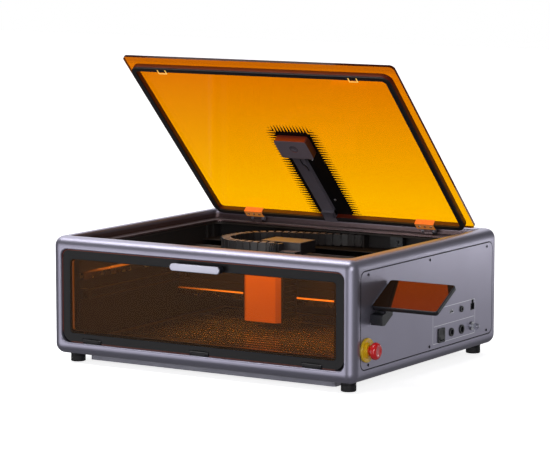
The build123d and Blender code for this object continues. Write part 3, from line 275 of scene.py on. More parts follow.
def dark_outline(n, tone, gloss):
    """Shadowed rim of a side sheet; both sheets have the same outline."""
    spot = n.place()
    low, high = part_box("side_panel_right")
    centre = (low + high) / 2
    half = (high - low) / 2
    along, up = n.part(spot, "y"), n.part(spot, "z")
    outside = window_distance(n, along, up, (centre.y, centre.z), (half.y, half.z), SHEET_CORNER)
    return n.blend(n.ramp(outside, -1.0 * MM, -0.6 * MM), tone, CASE_SHADOW), gloss, 0.0


def printed_lines(n, tone, gloss):
    """Thin white outlines round the two rows of ports on the right-hand sheet."""
    spot = n.place()
    along = n.part(spot, "y")
    up = n.part(spot, "z")
    rocker_low, rocker_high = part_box("rocker_bezel")
    jack_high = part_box("network_jack")[1]
    low = Vector((rocker_low.y - 16.5 * MM, rocker_low.z))
    high = Vector((jack_high.y + 2.8 * MM, jack_high.z + 0.3 * MM))
    centre = (low + high) / 2
    half = (high - low) / 2
    ring = n.math("ABSOLUTE", window_distance(n, along, up, centre, half, 3 * MM))
    between_rows = offset_from(n, up, rocker_high.z + 5 * MM)
    past_ends = n.math("SUBTRACT", offset_from(n, along, centre[0]), half[0] - 4 * MM)
    divider = n.math("MAXIMUM", between_rows, past_ends)
    line = n.ramp(n.math("MINIMUM", ring, divider), 0.3 * MM, 0.5 * MM, 1.0, 0.0)
    tone, gloss, glow = dark_outline(n, tone, gloss)
    return n.blend(line, tone, srgb(232, 232, 236)), gloss, glow


def patch_ink(n, across, along):
    """1 where the lid's under face is printed black: a rounded patch that ends in rows of fine teeth."""
    camera_low, camera_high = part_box("camera_head")
    low = Vector((camera_low.x, PATCH_REACH[0]))
    high = Vector((camera_high.x + PATCH_PAST_CAMERA, PATCH_REACH[1]))
    centre = (low + high) / 2
    half = (high - low) / 2
    outside = window_distance(n, across, along, centre, half, PATCH_CORNER)
    past_side = n.math("SUBTRACT", offset_from(n, across, centre[0]), half[0])
    past_end = n.math("SUBTRACT", offset_from(n, along, centre[1]), half[1])
    beside = n.math("GREATER_THAN", past_side, past_end)
    edge_run = n.node("Mix", {0: beside, 2: across, 3: along}).outputs[0]
    wave = n.math("PINGPONG", edge_run, TOOTH_PITCH / 2)
    tooth = n.ramp(outside, 0.0, TOOTH_LENGTH, TOOTH_PITCH * 0.38, 0.0)
    solid = n.math("LESS_THAN", outside, 0.0)
    printed = n.math("MAXIMUM", solid, n.math("LESS_THAN", wave, tooth))
    inside_sheet = n.node("NewGeometry").outputs["Backfacing"]
    viewed_from = n.math("SUBTRACT", 1.0, n.math("MULTIPLY", inside_sheet, 2.0))
    under_face = n.math("LESS_THAN", n.math("MULTIPLY", n.lean(LID_UP), viewed_from), -0.5)
    return n.math("MULTIPLY", printed, under_face)


def lid_acrylic():
    """Clear amber sheet with dark cut edges and the printed patch. A ray crosses two faces of it."""
    n = Shading("lid_acrylic")
    spot = n.place()
    from_hinge = n.vector("SUBTRACT", spot, tuple(HINGE))
    along = n.vector("DOT_PRODUCT", from_hinge, tuple(LID_FORWARD), out=1)
    pale, deep = srgb(255, 182, 0), srgb(226, 122, 0)
    seen = n.blend(n.ramp(n.part(spot, "z"), *LID_FADE), pale, deep)
    past_rim = n.ramp(along, RIM_REACH - 0.5 * MM, RIM_REACH + 0.5 * MM)
    seen = n.blend(n.math("MULTIPLY", past_rim, 0.8), seen, srgb(196, 100, 4))
    per_face = n.node("Gamma", {0: seen, 1: 0.5}).outputs[0]
    cut_edge = n.ramp(n.math("ABSOLUTE", n.lean(LID_UP)), 0.5, 0.6, 1.0, 0.0)
    per_face = n.blend(cut_edge, per_face, srgb(60, 22, 4))
    clear = n.node("BsdfTransparent", {"Color": per_face}).outputs[0]
    haze = n.node("BsdfTranslucent", {"Color": srgb(255, 150, 10)}).outputs[0]
    body = n.mix(0.03, clear, haze)
    scratches = n.noise(260.0, 5.0, (1, 8, 8))
    smudge = n.ramp(scratches, 0.4, 0.8, 0.03, 0.12)
    polish = n.node("BsdfGlossy", {"Color": (1, 1, 1), "Roughness": smudge}).outputs[0]
    glance = n.node("Fresnel", {"IOR": 1.45}).outputs[0]
    # Light that has bounced off a dull surface isn't mirrored, which keeps the chamber free of grain.
    mirrored = n.math("SUBTRACT", 0.2, n.math("MULTIPLY", n.ray("Diffuse"), 0.2))
    acrylic = n.mix(n.math("MULTIPLY", glance, mirrored), body, polish)
    ink = n.principled(Base_Color=srgb(8, 7, 9), Roughness=0.5, Specular_IOR_Level=0.2)
    return n.done(n.mix(patch_ink(n, n.part(spot, "x"), along), acrylic, ink))


def door_acrylic():
    """Dark amber sheet of the front door with a black printed border, a painted haze of light, and a cut edge with
    a faint painted glow.
    """
    n = Shading("door_acrylic")
    spot = n.place()
    across = n.part(spot, "x")
    up = n.part(spot, "z")
    low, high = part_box("door_panel")
    centre = ((low.x + high.x) / 2, (low.z + high.z) / 2)
    half = ((high.x - low.x) / 2, (high.z - low.z) / 2)
    outside = window_distance(n, across, up, centre, half, DOOR_CORNER)
    inner_half = (half[0] - DOOR_BORDER, half[1] - DOOR_BORDER)
    past_window = window_distance(n, across, up, centre, inner_half, WINDOW_CORNER)
    warm = n.ramp(across, -0.1, 0.26)
    seen = n.blend(warm, srgb(230, 146, 44), srgb(236, 136, 34))
    per_face = n.node("Gamma", {0: seen, 1: 0.5}).outputs[0]
    # Light that enters the chamber is tinted darker than what the camera sees through the sheet.
    per_face = n.blend(n.ray("Camera"), srgb(96, 50, 16), per_face)
    clear = n.node("BsdfTransparent", {"Color": per_face}).outputs[0]
    # Painted glow: an emission that only the camera sees, standing in for light scattered inside the sheet.
    haze = n.node("Emission", {"Color": (0.22, 0.12, 0.06)}).outputs[0]
    body = n.mix(n.math("MULTIPLY", n.ray("Camera"), 0.05), clear, haze)
    polish = n.node("BsdfGlossy", {"Color": (1, 0.92, 0.86), "Roughness": 0.05}).outputs[0]
    share = n.math("MULTIPLY", n.node("Fresnel", {"IOR": 1.45}).outputs[0], 0.12)
    acrylic = n.mix(share, body, polish)
    ink = n.principled(Base_Color=srgb(15, 13, 15), Roughness=0.4, Specular_IOR_Level=0.25)
    bordered = n.mix(n.ramp(past_window, 0.0, 0.4 * MM), acrylic, ink)
    # The cut edge carries a faint painted glow from its emission.
    edge = n.principled(
        Base_Color=srgb(120, 44, 18),
        Roughness=0.3,
        Emission_Color=srgb(190, 70, 20),
        Emission_Strength=0.15,
    )
    return n.done(n.mix(n.ramp(outside, -0.6 * MM, -0.3 * MM), bordered, edge))


def screen_glass():
    """Black cover glass with a strong mirror finish."""
    n = Shading("screen_glass")
    smudge = n.ramp(n.noise(60.0, 4.0), 0.45, 0.8, 0.01, 0.09)
    black = n.principled(Base_Color=srgb(14, 12, 12), Roughness=0.3, Specular_IOR_Level=0.05)
    mirror = n.node("BsdfGlossy", {"Color": (1, 0.42, 0.1), "Roughness": smudge}).outputs[0]
    share = n.ramp(n.node("Fresnel", {"IOR": 1.5}).outputs[0], 0.0, 1.0, 0.09, 1.0)
    return n.done(n.mix(share, black, mirror))


def brushed(name, color, rough, direction, metallic=1.0):
    """Metal drawn or ground along one direction."""
    stretch = tuple(0.04 if axis == direction else 1.0 for axis in "xyz")
    return coated(name, color, rough, metallic, 1400.0, 0.012, 0.06, 1.2, 0.0004, stretch)


def shell_shadows(n, tone, gloss):
    """Painted shade at the bottom of the gap round each side sheet, and painted warm shade inside the lid recess.
    """
    spot = n.place()
    x = n.math("ABSOLUTE", n.part(spot, "x"))
    y = n.math("ABSOLUTE", n.part(spot, "y"))
    sheet_low, sheet_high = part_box("side_panel_right")
    sideways = n.math("GREATER_THAN", n.math("ABSOLUTE", n.part(n.facing(), "x")), 0.995)
    behind_sheet = n.math("GREATER_THAN", x, sheet_low.x - 1.5 * MM)
    below_skin = n.math("LESS_THAN", x, sheet_high.x - 1 * MM)
    gap = n.math("MULTIPLY", n.math("MULTIPLY", below_skin, behind_sheet), sideways)
    # Painted shade in the gap round each side sheet.
    tone = n.blend(gap, tone, srgb(24, 22, 30))
    within_x = n.math("LESS_THAN", x, RECESS_HALF[0])
    within_y = n.math("LESS_THAN", y, RECESS_HALF[1])
    depth = n.ramp(n.part(spot, "z"), *RECESS_SHADE, 1.0, 0.0)
    recess = n.math("MULTIPLY", n.math("MULTIPLY", within_x, within_y), depth)
    # Painted warm shade on the walls of the lid recess.
    return n.blend(recess, tone, srgb(92, 76, 78)), gloss, 0.0


def amber_side(n, tone, gloss):
    """Warm light that falls through the lid onto the far and right faces of the camera."""
    far = n.ramp(n.lean(LID_FORWARD), 0.4, 0.8)
    right = n.ramp(n.part(n.facing(), "x"), 0.4, 0.8)
    tone = n.blend(far, tone, srgb(142, 50, 24))
    return n.blend(right, tone, srgb(88, 40, 26)), gloss, 0.0


def window_side(n, tone, gloss):
    """Warm light along the left inner side of the door frame."""
    left_part = n.math("LESS_THAN", n.part(n.place(), "x"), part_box("door_frame")[0].x * 0.75)
    lit = n.math("MULTIPLY", n.ramp(n.part(n.facing(), "x"), 0.6, 0.9), left_part)
    return tone, gloss, n.math("MULTIPLY", lit, 0.35)


def lit_rail(n, tone, gloss):
    """Work light caught along the front upper edge of the X rail, strongest near the laser head."""
    spot = n.place()
    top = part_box("x_rail")[1].z
    upper = n.ramp(n.part(spot, "z"), top - 2.2 * MM, top - 1.4 * MM)
    front = n.ramp(n.part(n.facing(), "y"), -0.9, -0.6, 1.0, 0.0)
    fade = n.ramp(offset_from(n, n.part(spot, "x"), -20 * MM), 50 * MM, 250 * MM, 1.0, 0.0, smooth=True)
    lit = n.math("MULTIPLY", n.math("MULTIPLY", upper, front), fade)
    return tone, gloss, n.math("MULTIPLY", lit, 4.5)


def lit_side_rails(n, tone, gloss):
    """Work light caught along the upper edges of the side rails."""
    spot = n.place()
    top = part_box("y_rails")[1].z
    upper = n.ramp(n.part(spot, "z"), top - 2.6 * MM, top - 1.8 * MM)
    fade = n.ramp(offset_from(n, n.part(spot, "y"), -60 * MM), 50 * MM, 150 * MM, 1.0, 0.0, smooth=True)
    return tone, gloss, n.math("MULTIPLY", n.math("MULTIPLY", upper, fade), 1.4)


def lit_top(n, tone, gloss):
    """Pale light on the upper faces of the drag chain and its cover."""
    up = n.ramp(n.part(n.facing(), "z"), 0.5, 0.95)
    return n.blend(up, tone, srgb(142, 128, 126)), gloss, 0.0


def lit_trim(n, tone, gloss):
    """Amber light that falls through the lid onto the catches."""
    return tone, gloss, n.ramp(n.noise(90.0), 0.2, 0.8, 1.0, 2.0)


def lit_leaf(n, tone, gloss):
    """Amber light on the part of each hinge leaf that lies against the lid."""
    from_hinge = n.vector("SUBTRACT", n.place(), tuple(HINGE))
    along = n.vector("DOT_PRODUCT", from_hinge, tuple(LID_FORWARD), out=1)
    on_lid = n.ramp(along, 9 * MM, 10.5 * MM)
    flame = n.blend(n.noise(300.0, 3.0), srgb(255, 60, 10), srgb(255, 150, 40))
    return n.blend(on_lid, tone, flame), gloss, n.math("MULTIPLY", on_lid, 0.3)


def satin(name, extra):
    """Satin metallic paint of the case."""
    return coated(name, CASE, 0.36, 0.75, 2600.0, 0.006, 0.02, 1.12, 0.7 * MM, uneven=0.015, extra=extra)


def moulded(name, color, rough, edge_wear_and_highlight, extra=None):
    """Matt moulded plastic."""
    return coated(name, color, rough, 0.0, 2200.0, 0.01, 0.06, edge_wear_and_highlight, extra=extra)


# Arguments: name, colour, roughness, metallic, grain scale, grain depth, mottle, edge wear and painted edge
# highlight.
MATERIAL = {
    "case_paint": satin("case_paint", shell_shadows),
    "tray_paint": coated("tray_paint", srgb(168, 167, 180), 0.5, 0.2, 1500.0, 0.015, 0.04, 1.2),
    "liner_paint": coated("liner_paint", srgb(26, 21, 20), 0.65, 0.1, 1500.0, 0.004, 0.1, 1.6),
    "amber_acrylic": lid_acrylic(),
    "smoked_acrylic": door_acrylic(),
    "rim_plastic": coated("rim_plastic", srgb(92, 28, 12), 0.38, 0.0, 1200.0, 0.01, 0.1, 1.4),
    "rubber": coated("rubber", srgb(24, 23, 27), 0.6, 0.0, 1800.0, 0.03, 0.12, 1.5),
    "black_plastic": coated("black_plastic", srgb(24, 25, 30), 0.4, 0.0, 2200.0, 0.012, 0.08, 1.8),
    "black_steel": coated("black_steel", srgb(26, 25, 28), 0.4, 0.3, 1500.0, 0.01, 0.1, 1.8),
    "steel": brushed("steel", srgb(196, 196, 200), 0.24, "x"),
    "alu_black": coated(
        "alu_black", srgb(58, 55, 57), 0.42, 0.6, 1700.0, 0.01, 0.06, 1.5, stretch=(0.05, 1, 1)
    ),
    "alu_silver": brushed("alu_silver", srgb(200, 200, 214), 0.36, "x", 0.6),
    "orange_cover": coated("orange_cover", srgb(255, 164, 30), 0.4, 0.1, 2000.0, 0.008, 0.03, 1.2),
    "belt": coated("belt", srgb(40, 38, 38), 0.6, 0.0, 2500.0, 0.02, 0.1, 1.4),
    "chain_plastic": coated(
        "chain_plastic", srgb(30, 26, 26), 0.5, 0.0, 1900.0, 0.015, 0.1, 1.8, extra=lit_top
    ),
    "circuit": coated("circuit", srgb(28, 96, 62), 0.3, 0.0, 400.0, 0.03, 0.25, 1.5),
    "yellow_plastic": coated(
        "yellow_plastic", srgb(240, 196, 30), 0.28, 0.0, 900.0, 0.004, 0.03, 1.1, clear=0.4
    ),
    "red_plastic": coated("red_plastic", srgb(232, 26, 32), 0.24, 0.0, 900.0, 0.004, 0.04, 1.3, clear=0.6),
    "chrome": coated("chrome", srgb(170, 171, 176), 0.3, 1.0, 1200.0, 0.004, 0.03, 1.1),
    "brass": brushed("brass", srgb(200, 160, 92), 0.25, "z"),
    "screen_glass": screen_glass(),
    "lens_glass": coated("lens_glass", srgb(120, 112, 124), 0.12, 0.0, 300.0, 0.001, 0.2, 2.0, clear=1.0),
}
# Finishes of single nodes that differ from the rest of their slot; several carry painted light or painted shade.
RAIL_STEEL = (srgb(170, 170, 175), 0.25, 1.0, 1400.0, 0.012, 0.06, 1.2)
NODE_FINISH = {
    "side_panel_right": satin("printed_sheet", printed_lines),
    "side_panel_left": satin("side_sheet", dark_outline),
    "camera_head": moulded("camera_shell", srgb(132, 120, 130), 0.45, 1.6, amber_side),
    "camera_arm": moulded("camera_arm", srgb(98, 93, 103), 0.5, 1.5),
    "door_frame": coated(
        "door_frame", srgb(24, 25, 30), 0.4, 0.0, 2200.0, 0.012, 0.08, 1.8, extra=window_side
    ),
    "lid_hinge_leaves": coated(
        "lit_leaf", srgb(120, 118, 126), 0.4, 0.3, 500.0, 0.05, 0.1, 1.4, extra=lit_leaf
    ),
    "x_rail": coated("x_rail", *RAIL_STEEL, extra=lit_rail),
    "y_rails": coated("y_rails", *RAIL_STEEL, extra=lit_side_rails),
    "carriage_cover": coated(
        "carriage_cover", srgb(40, 37, 38), 0.4, 0.3, 1700.0, 0.01, 0.06, 1.5, extra=lit_top
    ),
}
# The catch trims carry painted amber light.
CATCH_FINISH = coated(
    "catch_trim", srgb(255, 214, 80), 0.28, 0.0, 900.0, 0.004, 0.03, 1.1, extra=lit_trim
)

for node_name, node in frame["nodes"].items():
    node.data.materials.clear()
    node.data.materials.append(NODE_FINISH.get(node_name, MATERIAL[SLOT_OF_NODE[node_name]]))


# ---- shapes -------------------------------------------------------------------------
def block(bm, low, high, turn=None):
    """Box between two corners, carried by a matrix."""
    turn = turn or Matrix()
    corners = [(x, y, z) for x in (low[0], high[0]) for y in (low[1], high[1]) for z in (low[2], high[2])]
    made = [bm.verts.new(turn @ Vector(corner)) for corner in corners]
    for ring in ((0, 1, 3, 2), (4, 6, 7, 5), (0, 4, 5, 1), (2, 3, 7, 6), (0, 2, 6, 4), (1, 5, 7, 3)):
        bm.faces.new([made[index] for index in ring])


def lathe(bm, profile, turn, steps=32, hexagon=()):
    """Solid turned about local Z; the rings listed in hexagon get six flats instead."""
    rings = []
    for number, (radius, height) in enumerate(profile):
        if radius == 0:
            rings.append([bm.verts.new(turn @ Vector((0, 0, height)))])
            continue
        ring = []
        for step in range(steps):
            angle = 2 * math.pi * step / steps
            reach = radius
            if number in hexagon:
                reach = radius / math.cos((angle % (math.pi / 3)) - math.pi / 6)
            spot = Vector((reach * math.cos(angle), reach * math.sin(angle), height))
            ring.append(bm.verts.new(turn @ spot))
        rings.append(ring)
    for lower, upper in zip(rings, rings[1:]):
        for step in range(steps):
            after = (step + 1) % steps
            corners = [lower[step % len(lower)], lower[after % len(lower)]]
            corners += [upper[after % len(upper)], upper[step % len(upper)]]
            corners = list(dict.fromkeys(corners))
            if len(corners) > 2:
                bm.faces.new(corners)


def smooth_path(points, steps=8):
    """Places along a smooth curve through the given points."""
    points = [Vector(point) for point in points]
    padded = [2 * points[0] - points[1], *points, 2 * points[-1] - points[-2]]
    path = []
    for a, b, c, d in zip(padded, padded[1:], padded[2:], padded[3:]):
        for step in range(steps):
            t = step / steps
            bend = (2 * a - 5 * b + 4 * c - d) * t**2 + (3 * b - a - 3 * c + d) * t**3
            path.append(0.5 * (2 * b + (c - a) * t + bend))
    return [*path, points[-1]]


def cable(bm, points, radius, sides=10):
    """Round cable along a smooth curve, with closed ends."""
    path = smooth_path(points)
    rings = []
    for number, spot in enumerate(path):
        ahead = path[min(number + 1, len(path) - 1)] - path[max(number - 1, 0)]
        turn = ahead.to_track_quat("Z", "Y")
        around = [2 * math.pi * side / sides for side in range(sides)]
        ring = [spot + turn @ Vector((radius * math.cos(a), radius * math.sin(a), 0)) for a in around]
        rings.append([bm.verts.new(place) for place in ring])
    for lower, upper in zip(rings, rings[1:]):
        for side in range(sides):
            after = (side + 1) % sides
            bm.faces.new((lower[side], lower[after], upper[after], upper[side]))
    bm.faces.new(rings[0])
    bm.faces.new(rings[-1])


def facing_matrix(place, outward):
    """Matrix whose local Z points outward from a place."""
    return Matrix.Translation(place) @ Vector(outward).to_track_quat("Z", "Y").to_matrix().to_4x4()


def lid_matrix():
    """Matrix from the shut lid's frame about the hinge line to the open lid at rest."""
    columns = (Vector((1, 0, 0)), -LID_FORWARD, LID_UP)
    turn = Matrix(columns).transposed().to_4x4()
    return Matrix.Translation(HINGE) @ turn


def finish_piece(bm, name, slot_name, body=None, stands_for=(), finish=None):
    """Make an object of the mesh, with soft shading up to 35 degree edges."""
    bmesh.ops.recalc_face_normals(bm, faces=bm.faces)
    for face in bm.faces:
        face.smooth = True
    for edge in bm.edges:
        edge.smooth = edge.calc_face_angle(0.0) < math.radians(35)
    mesh = bpy.data.meshes.new(name)
    bm.to_mesh(mesh)
    bm.free()
    piece = bpy.data.objects.new(name, mesh)
    bpy.context.scene.collection.objects.link(piece)
    mesh.materials.append(finish or MATERIAL[slot_name])
    if body:
        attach(piece, body)
    if stands_for:
        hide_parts(*stands_for)
    return piece


def solids_of(node_name):
    """Corner places of each separate solid of a CAD node, in the row frame."""
    node = frame["nodes"][node_name]
    bm = bmesh.new()
    bm.from_mesh(node.data)
    bm.transform(node.matrix_world)
    bmesh.ops.remove_doubles(bm, verts=bm.verts, dist=1e-6)
    waiting = set(bm.verts)
    solids = []
    while waiting:
        front = [waiting.pop()]
        solid = []
        while front:
            vert = front.pop()
            solid.append(vert.co.copy())
            for edge in vert.link_edges:
                other = edge.other_vert(vert)
                if other in waiting:
                    waiting.remove(other)
                    front.append(other)
        solids.append(solid)
    bm.free()
    return solids


def extent(places):
    """Lowest and highest corner of some places."""
    low = Vector([min(place[axis] for place in places) for axis in range(3)])
    high = Vector([max(place[axis] for place in places) for axis in range(3)])
    return low, high


# ---- drag chain ---------------------------------------------------------------------
PLATE = 1.6 * MM
TONGUE = 1.9 * MM
BAR_HALF = 4.4 * MM


def chain_link(bm, places):
    """Open link: two side plates with tongues towards the next link, joined by a cross bar at top and at bottom.
    """
    low, high = extent(places)
    centre = (low + high) / 2
    spread_x = sum((p.x - centre.x) ** 2 for p in places)
    spread_y = sum((p.y - centre.y) ** 2 for p in places)
    skew = sum((p.x - centre.x) * (p.y - centre.y) for p in places)
    across_angle = 0.5 * math.atan2(2 * skew, spread_x - spread_y)
    turn = Matrix.Translation(centre) @ Matrix.Rotation(across_angle - math.pi / 2, 4, "Z")
    local = [turn.inverted() @ place for place in places]
    near, far = extent(local)
    for side in (-1, 1):
        outer = side * far.y
        inner = side * (far.y - PLATE)
        block(bm, (near.x, min(outer, inner), near.z), (far.x, max(outer, inner), far.z), turn)
        tongue = side * (far.y - PLATE - TONGUE * 0.6)
        span = (min(inner, tongue), max(inner, tongue))
        reach = (near.x - TONGUE, far.x + TONGUE)
        block(bm, (reach[0], span[0], near.z + 1.5 * MM), (reach[1], span[1], far.z - 1.5 * MM), turn)
    inside = far.y - PLATE
    for bar_low, bar_high in ((near.z, near.z + PLATE), (far.z - PLATE, far.z)):
        block(bm, (-BAR_HALF, -inside, bar_low), (BAR_HALF, inside, bar_high), turn)


def chain_piece(name, node_name):
    """Links for every CAD link of one chain run, put in the CAD run's place."""
    bm = bmesh.new()
    for places in solids_of(node_name):
        chain_link(bm, places)
    bmesh.ops.bevel(bm, geom=bm.edges, offset=0.35 * MM, segments=1, affect="EDGES")
    piece = finish_piece(bm, name, "chain_plastic", stands_for=(node_name,))
    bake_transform(piece)


def drag_chain():
    """Both runs of the drag chain."""
    chain_piece(
        "chain_rear_links",
        "chain_rear_run",
    )
    chain_piece(
        "chain_front_links",
        "chain_front_run",
    )


drag_chain()


# ---- fasteners and feet ---------------------------------------------------------------
SOCKET_SCREW = (
    (0, -0.2 * MM), (1.25 * MM, -0.2 * MM), (1.25 * MM, 1.1 * MM), (2.1 * MM, 1.2 * MM),
    (2.9 * MM, 0.8 * MM), (3.2 * MM, 0.2 * MM), (3.2 * MM, -0.1 * MM), (1.5 * MM, -0.1 * MM),
    (1.5 * MM, -4.5 * MM), (0, -4.5 * MM),
)


def panel_screws():
    """Button-head screws with hexagon sockets, each where the CAD screw stands."""
    bm = bmesh.new()
    for places in solids_of("panel_screws"):
        low, high = extent(places)
        centre = (low + high) / 2
        if high.x - low.x < high.y - low.y:
            seat = Vector((centre.x, high.y - 1.2 * MM, centre.z))
            outward = (0, 1, 0)
        else:
            side = math.copysign(1, centre.x)
            seat = Vector((side * (max(abs(low.x), abs(high.x)) - 1.2 * MM), centre.y, centre.z))
            outward = (side, 0, 0)
        lathe(bm, SOCKET_SCREW, facing_matrix(seat, outward), 24, hexagon=(1, 2))
    finish_piece(bm, "socket_screws", "black_steel", "base", ("panel_screws",))


def rubber_feet():
    """Turned feet with a rounded tread and a groove."""
    bm = bmesh.new()
    for places in solids_of("feet"):
        low, high = extent(places)
        radius = (high.x - low.x) / 2
        tall = high.z - low.z
        profile = (
            (0, 0.6 * MM), (radius - 4 * MM, 0.6 * MM), (radius - 3.4 * MM, 0), (radius - 1.2 * MM, 0),
            (radius - 0.3 * MM, 0.5 * MM), (radius, 1.4 * MM), (radius, tall - 5 * MM),
            (radius - 0.7 * MM, tall - 4.6 * MM), (radius - 0.7 * MM, tall - 4 * MM),
            (radius, tall - 3.6 * MM), (radius, tall), (0, tall),
        )
        foot = Vector(((low.x + high.x) / 2, (low.y + high.y) / 2, low.z))
        lathe(bm, profile, Matrix.Translation(foot), 48)
    finish_piece(bm, "rubber_feet", "rubber", "base", ("feet",))


panel_screws()
rubber_feet()


# ---- stop button and fan ----------------------------------------------------------------
def stop_button():
    """Turned mushroom head with a dished top and a stem."""
    low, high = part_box("estop_button")
    centre = (low + high) / 2
    radius = (high.y - low.y) / 2
    tall = high.x - low.x
    profile = (
        (0, 0), (7.9 * MM, 0), (7.9 * MM, tall - 10 * MM), (radius - 2 * MM, tall - 10 * MM),
        (radius - 0.6 * MM, tall - 9 * MM), (radius, tall - 7.4 * MM), (radius - 0.1 * MM, tall - 4.6 * MM),
        (radius - 1.1 * MM, tall - 2.2 * MM), (radius - 3 * MM, tall - 0.6 * MM), (radius - 5 * MM, tall),
        (radius - 7 * MM, tall - 0.5 * MM), (4 * MM, tall - 1.1 * MM), (0, tall - 1.2 * MM),
    )
    bm = bmesh.new()
    lathe(bm, profile, facing_matrix((low.x, centre.y, centre.z), (1, 0, 0)), 48)
    finish_piece(bm, "stop_mushroom", "red_plastic", "estop", ("estop_button",))


BLADES = 7
BLADE_STATIONS = 8
# Outline of a blade's section: place along the chord from -1 to 1, and side of the skin.
BLADE_SECTION = ((-1, 1), (0, 1.5), (1, 1), (1, -1), (0, -0.5), (-1, -1))


def fan_blade(bm, turn, start_angle, hub, tip, depth):
    """Blade that sweeps forward and flattens towards its tip."""
    rows = []
    for station in range(BLADE_STATIONS + 1):
        share = station / BLADE_STATIONS
        reach = hub - 0.4 * MM + share * (tip - hub)
        sweep = start_angle + 0.35 * share**2
        pitch = math.radians(52 - 26 * share)
        half_chord = (8 + 9 * share) * MM
        row = []
        for along, skin in BLADE_SECTION:
            chord = along * half_chord
            bow = (1 - along**2) * 1.5 * MM
            angle = sweep + chord * math.cos(pitch) / reach
            rise = chord * math.sin(pitch) * 0.55 + bow + skin * 0.45 * MM
            spot = Vector((reach * math.cos(angle), reach * math.sin(angle), max(-depth, min(depth, rise))))
            row.append(bm.verts.new(turn @ spot))
        rows.append(row)
    for inner, outer in zip(rows, rows[1:]):
        for corner in range(len(BLADE_SECTION)):
            after = (corner + 1) % len(BLADE_SECTION)
            bm.faces.new((inner[corner], inner[after], outer[after], outer[corner]))
    bm.faces.new(rows[0])
    bm.faces.new(rows[-1])


def fan_wheel():
    """Cup-shaped fan hub with its blades."""
    low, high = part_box("fan_rotor")
    hub, tip = 20 * MM, 55.5 * MM
    bore, wall = 2.2 * MM, 1.5 * MM
    depth = (high.y - low.y) / 2 - 0.5 * MM
    inner = hub - 2 * MM
    profile = (
        (bore, -depth), (hub - wall, -depth), (hub, wall - depth), (hub, depth),
        (inner, depth), (inner, wall - depth), (bore, wall - depth), (bore, -depth),
    )
    bm = bmesh.new()
    turn = facing_matrix((low + high) / 2, (0, 1, 0))
    lathe(bm, profile, turn, 40)
    for blade in range(BLADES):
        fan_blade(bm, turn, 2 * math.pi * blade / BLADES, hub, tip, depth)
    finish_piece(bm, "fan_wheel", SLOT_OF_NODE["fan_rotor"], "fan", ("fan_rotor",))


stop_button()
fan_wheel()


# ---- lid fittings -------------------------------------------------------------------------
# Places in the shut lid's frame, in millimetres from the hinge line: x across, y back from the front,
# z up. The lid's under side faces -z, and the recess floor lies 5.5 mm below the hinge line.
FLOOR_GAP_Z = -5.4
RIM_FACE_Z = -4.8
CABLE_PATH = ((-4, -184), (-9, -172), (-9.5, -160), (-6.5, -157), (-4.5, -152), (-4.5, -143))
CABLE_Z = -1.6
LID_SCREWS = ((9, -165), (9, -60))
CATCH_MIDDLES = (-182.5, 180.0)
HINGE_MIDDLES = (-168.5, 168.5)


def lid_point(x, y, z):
    """Place on the open lid, given in millimetres in the shut lid's frame."""
    return lid_matrix() @ (Vector((x, y, z)) * MM)


def lid_screw(bm, x, y, z, width, height):
    """Small socket screw that looks out of the lid's under side."""
    seat = lid_matrix() @ Matrix.Translation(Vector((x, y, z)) * MM) @ Matrix.Rotation(math.pi, 4, "X")
    head = [(radius * width, rise * height) for radius, rise in SOCKET_SCREW[:7]]
    lathe(bm, head + [(0, -0.1 * MM)], seat, 16, hexagon=(1, 2))


def camera_fittings():
    """Cable with its hook-shaped loop, and two small screws beside the arm."""
    bm = bmesh.new()
    cable(bm, [lid_point(x, y, CABLE_Z) for x, y in CABLE_PATH], 0.9 * MM)
    finish_piece(bm, "camera_cable", "black_plastic", "lid")
    bm = bmesh.new()
    for x, y in LID_SCREWS:
        lid_screw(bm, x, y, 5, 0.8, 1.0)
    finish_piece(bm, "camera_screws", "steel", "lid")


def arm_foot():
    """Cover that carries the camera cable from the arm over the rear of the rim."""
    left, right = (corner.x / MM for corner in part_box("camera_arm"))
    front, rim_rear, rear = -36, -22.5, -11.5
    turn = lid_matrix()
    bm = bmesh.new()
    low = Vector((left, front, FLOOR_GAP_Z)) * MM
    block(bm, low, Vector((right, rear, RIM_FACE_Z)) * MM, turn)
    block(bm, low, Vector((right, rim_rear, 4.9)) * MM, turn)
    bmesh.ops.bevel(bm, geom=bm.edges, offset=0.2 * MM, segments=2, affect="EDGES")
    finish_piece(bm, "arm_foot", "black_plastic", "lid", finish=NODE_FINISH["camera_arm"])


def catch_trims():
    """Bright moulded outline on three sides of each catch on the rim."""
    half, wall = 8.4, 1.8
    front, rear = -388.0, -378.6
    turn = lid_matrix()
    bm = bmesh.new()
    for middle in CATCH_MIDDLES:
        left, right = middle - half, middle + half
        bars = (
            ((left, rear - wall), (right, rear)),
            ((left, front), (left + wall, rear)),
            ((right - wall, front), (right, rear)),
        )
        for low, high in bars:
            block(bm, Vector((*low, FLOOR_GAP_Z)) * MM, Vector((*high, RIM_FACE_Z)) * MM, turn)
    bmesh.ops.bevel(bm, geom=bm.edges, offset=0.2 * MM, segments=1, affect="EDGES")
    finish_piece(bm, "catch_trims", "yellow_plastic", "lid", finish=CATCH_FINISH)


def leaf_screws():
    """Three low screws in each hinge leaf."""
    bm = bmesh.new()
    for middle in HINGE_MIDDLES:
        for offset in (-11, 0, 11):
            lid_screw(bm, middle + offset, -16, -4.7, 0.75, 0.6)
    finish_piece(bm, "leaf_screws", "steel", "lid")


camera_fittings()
arm_foot()
catch_trims()
leaf_screws()


# ---- belts and wires ------------------------------------------------------------------------
BELT_TOOTH_PITCH = 2 * MM
# Share of a tooth's pitch, and depth of the inner face there in belt thicknesses.
BELT_TOOTH = ((0.0, 1), (0.2, 2), (0.5, 2), (0.7, 1))


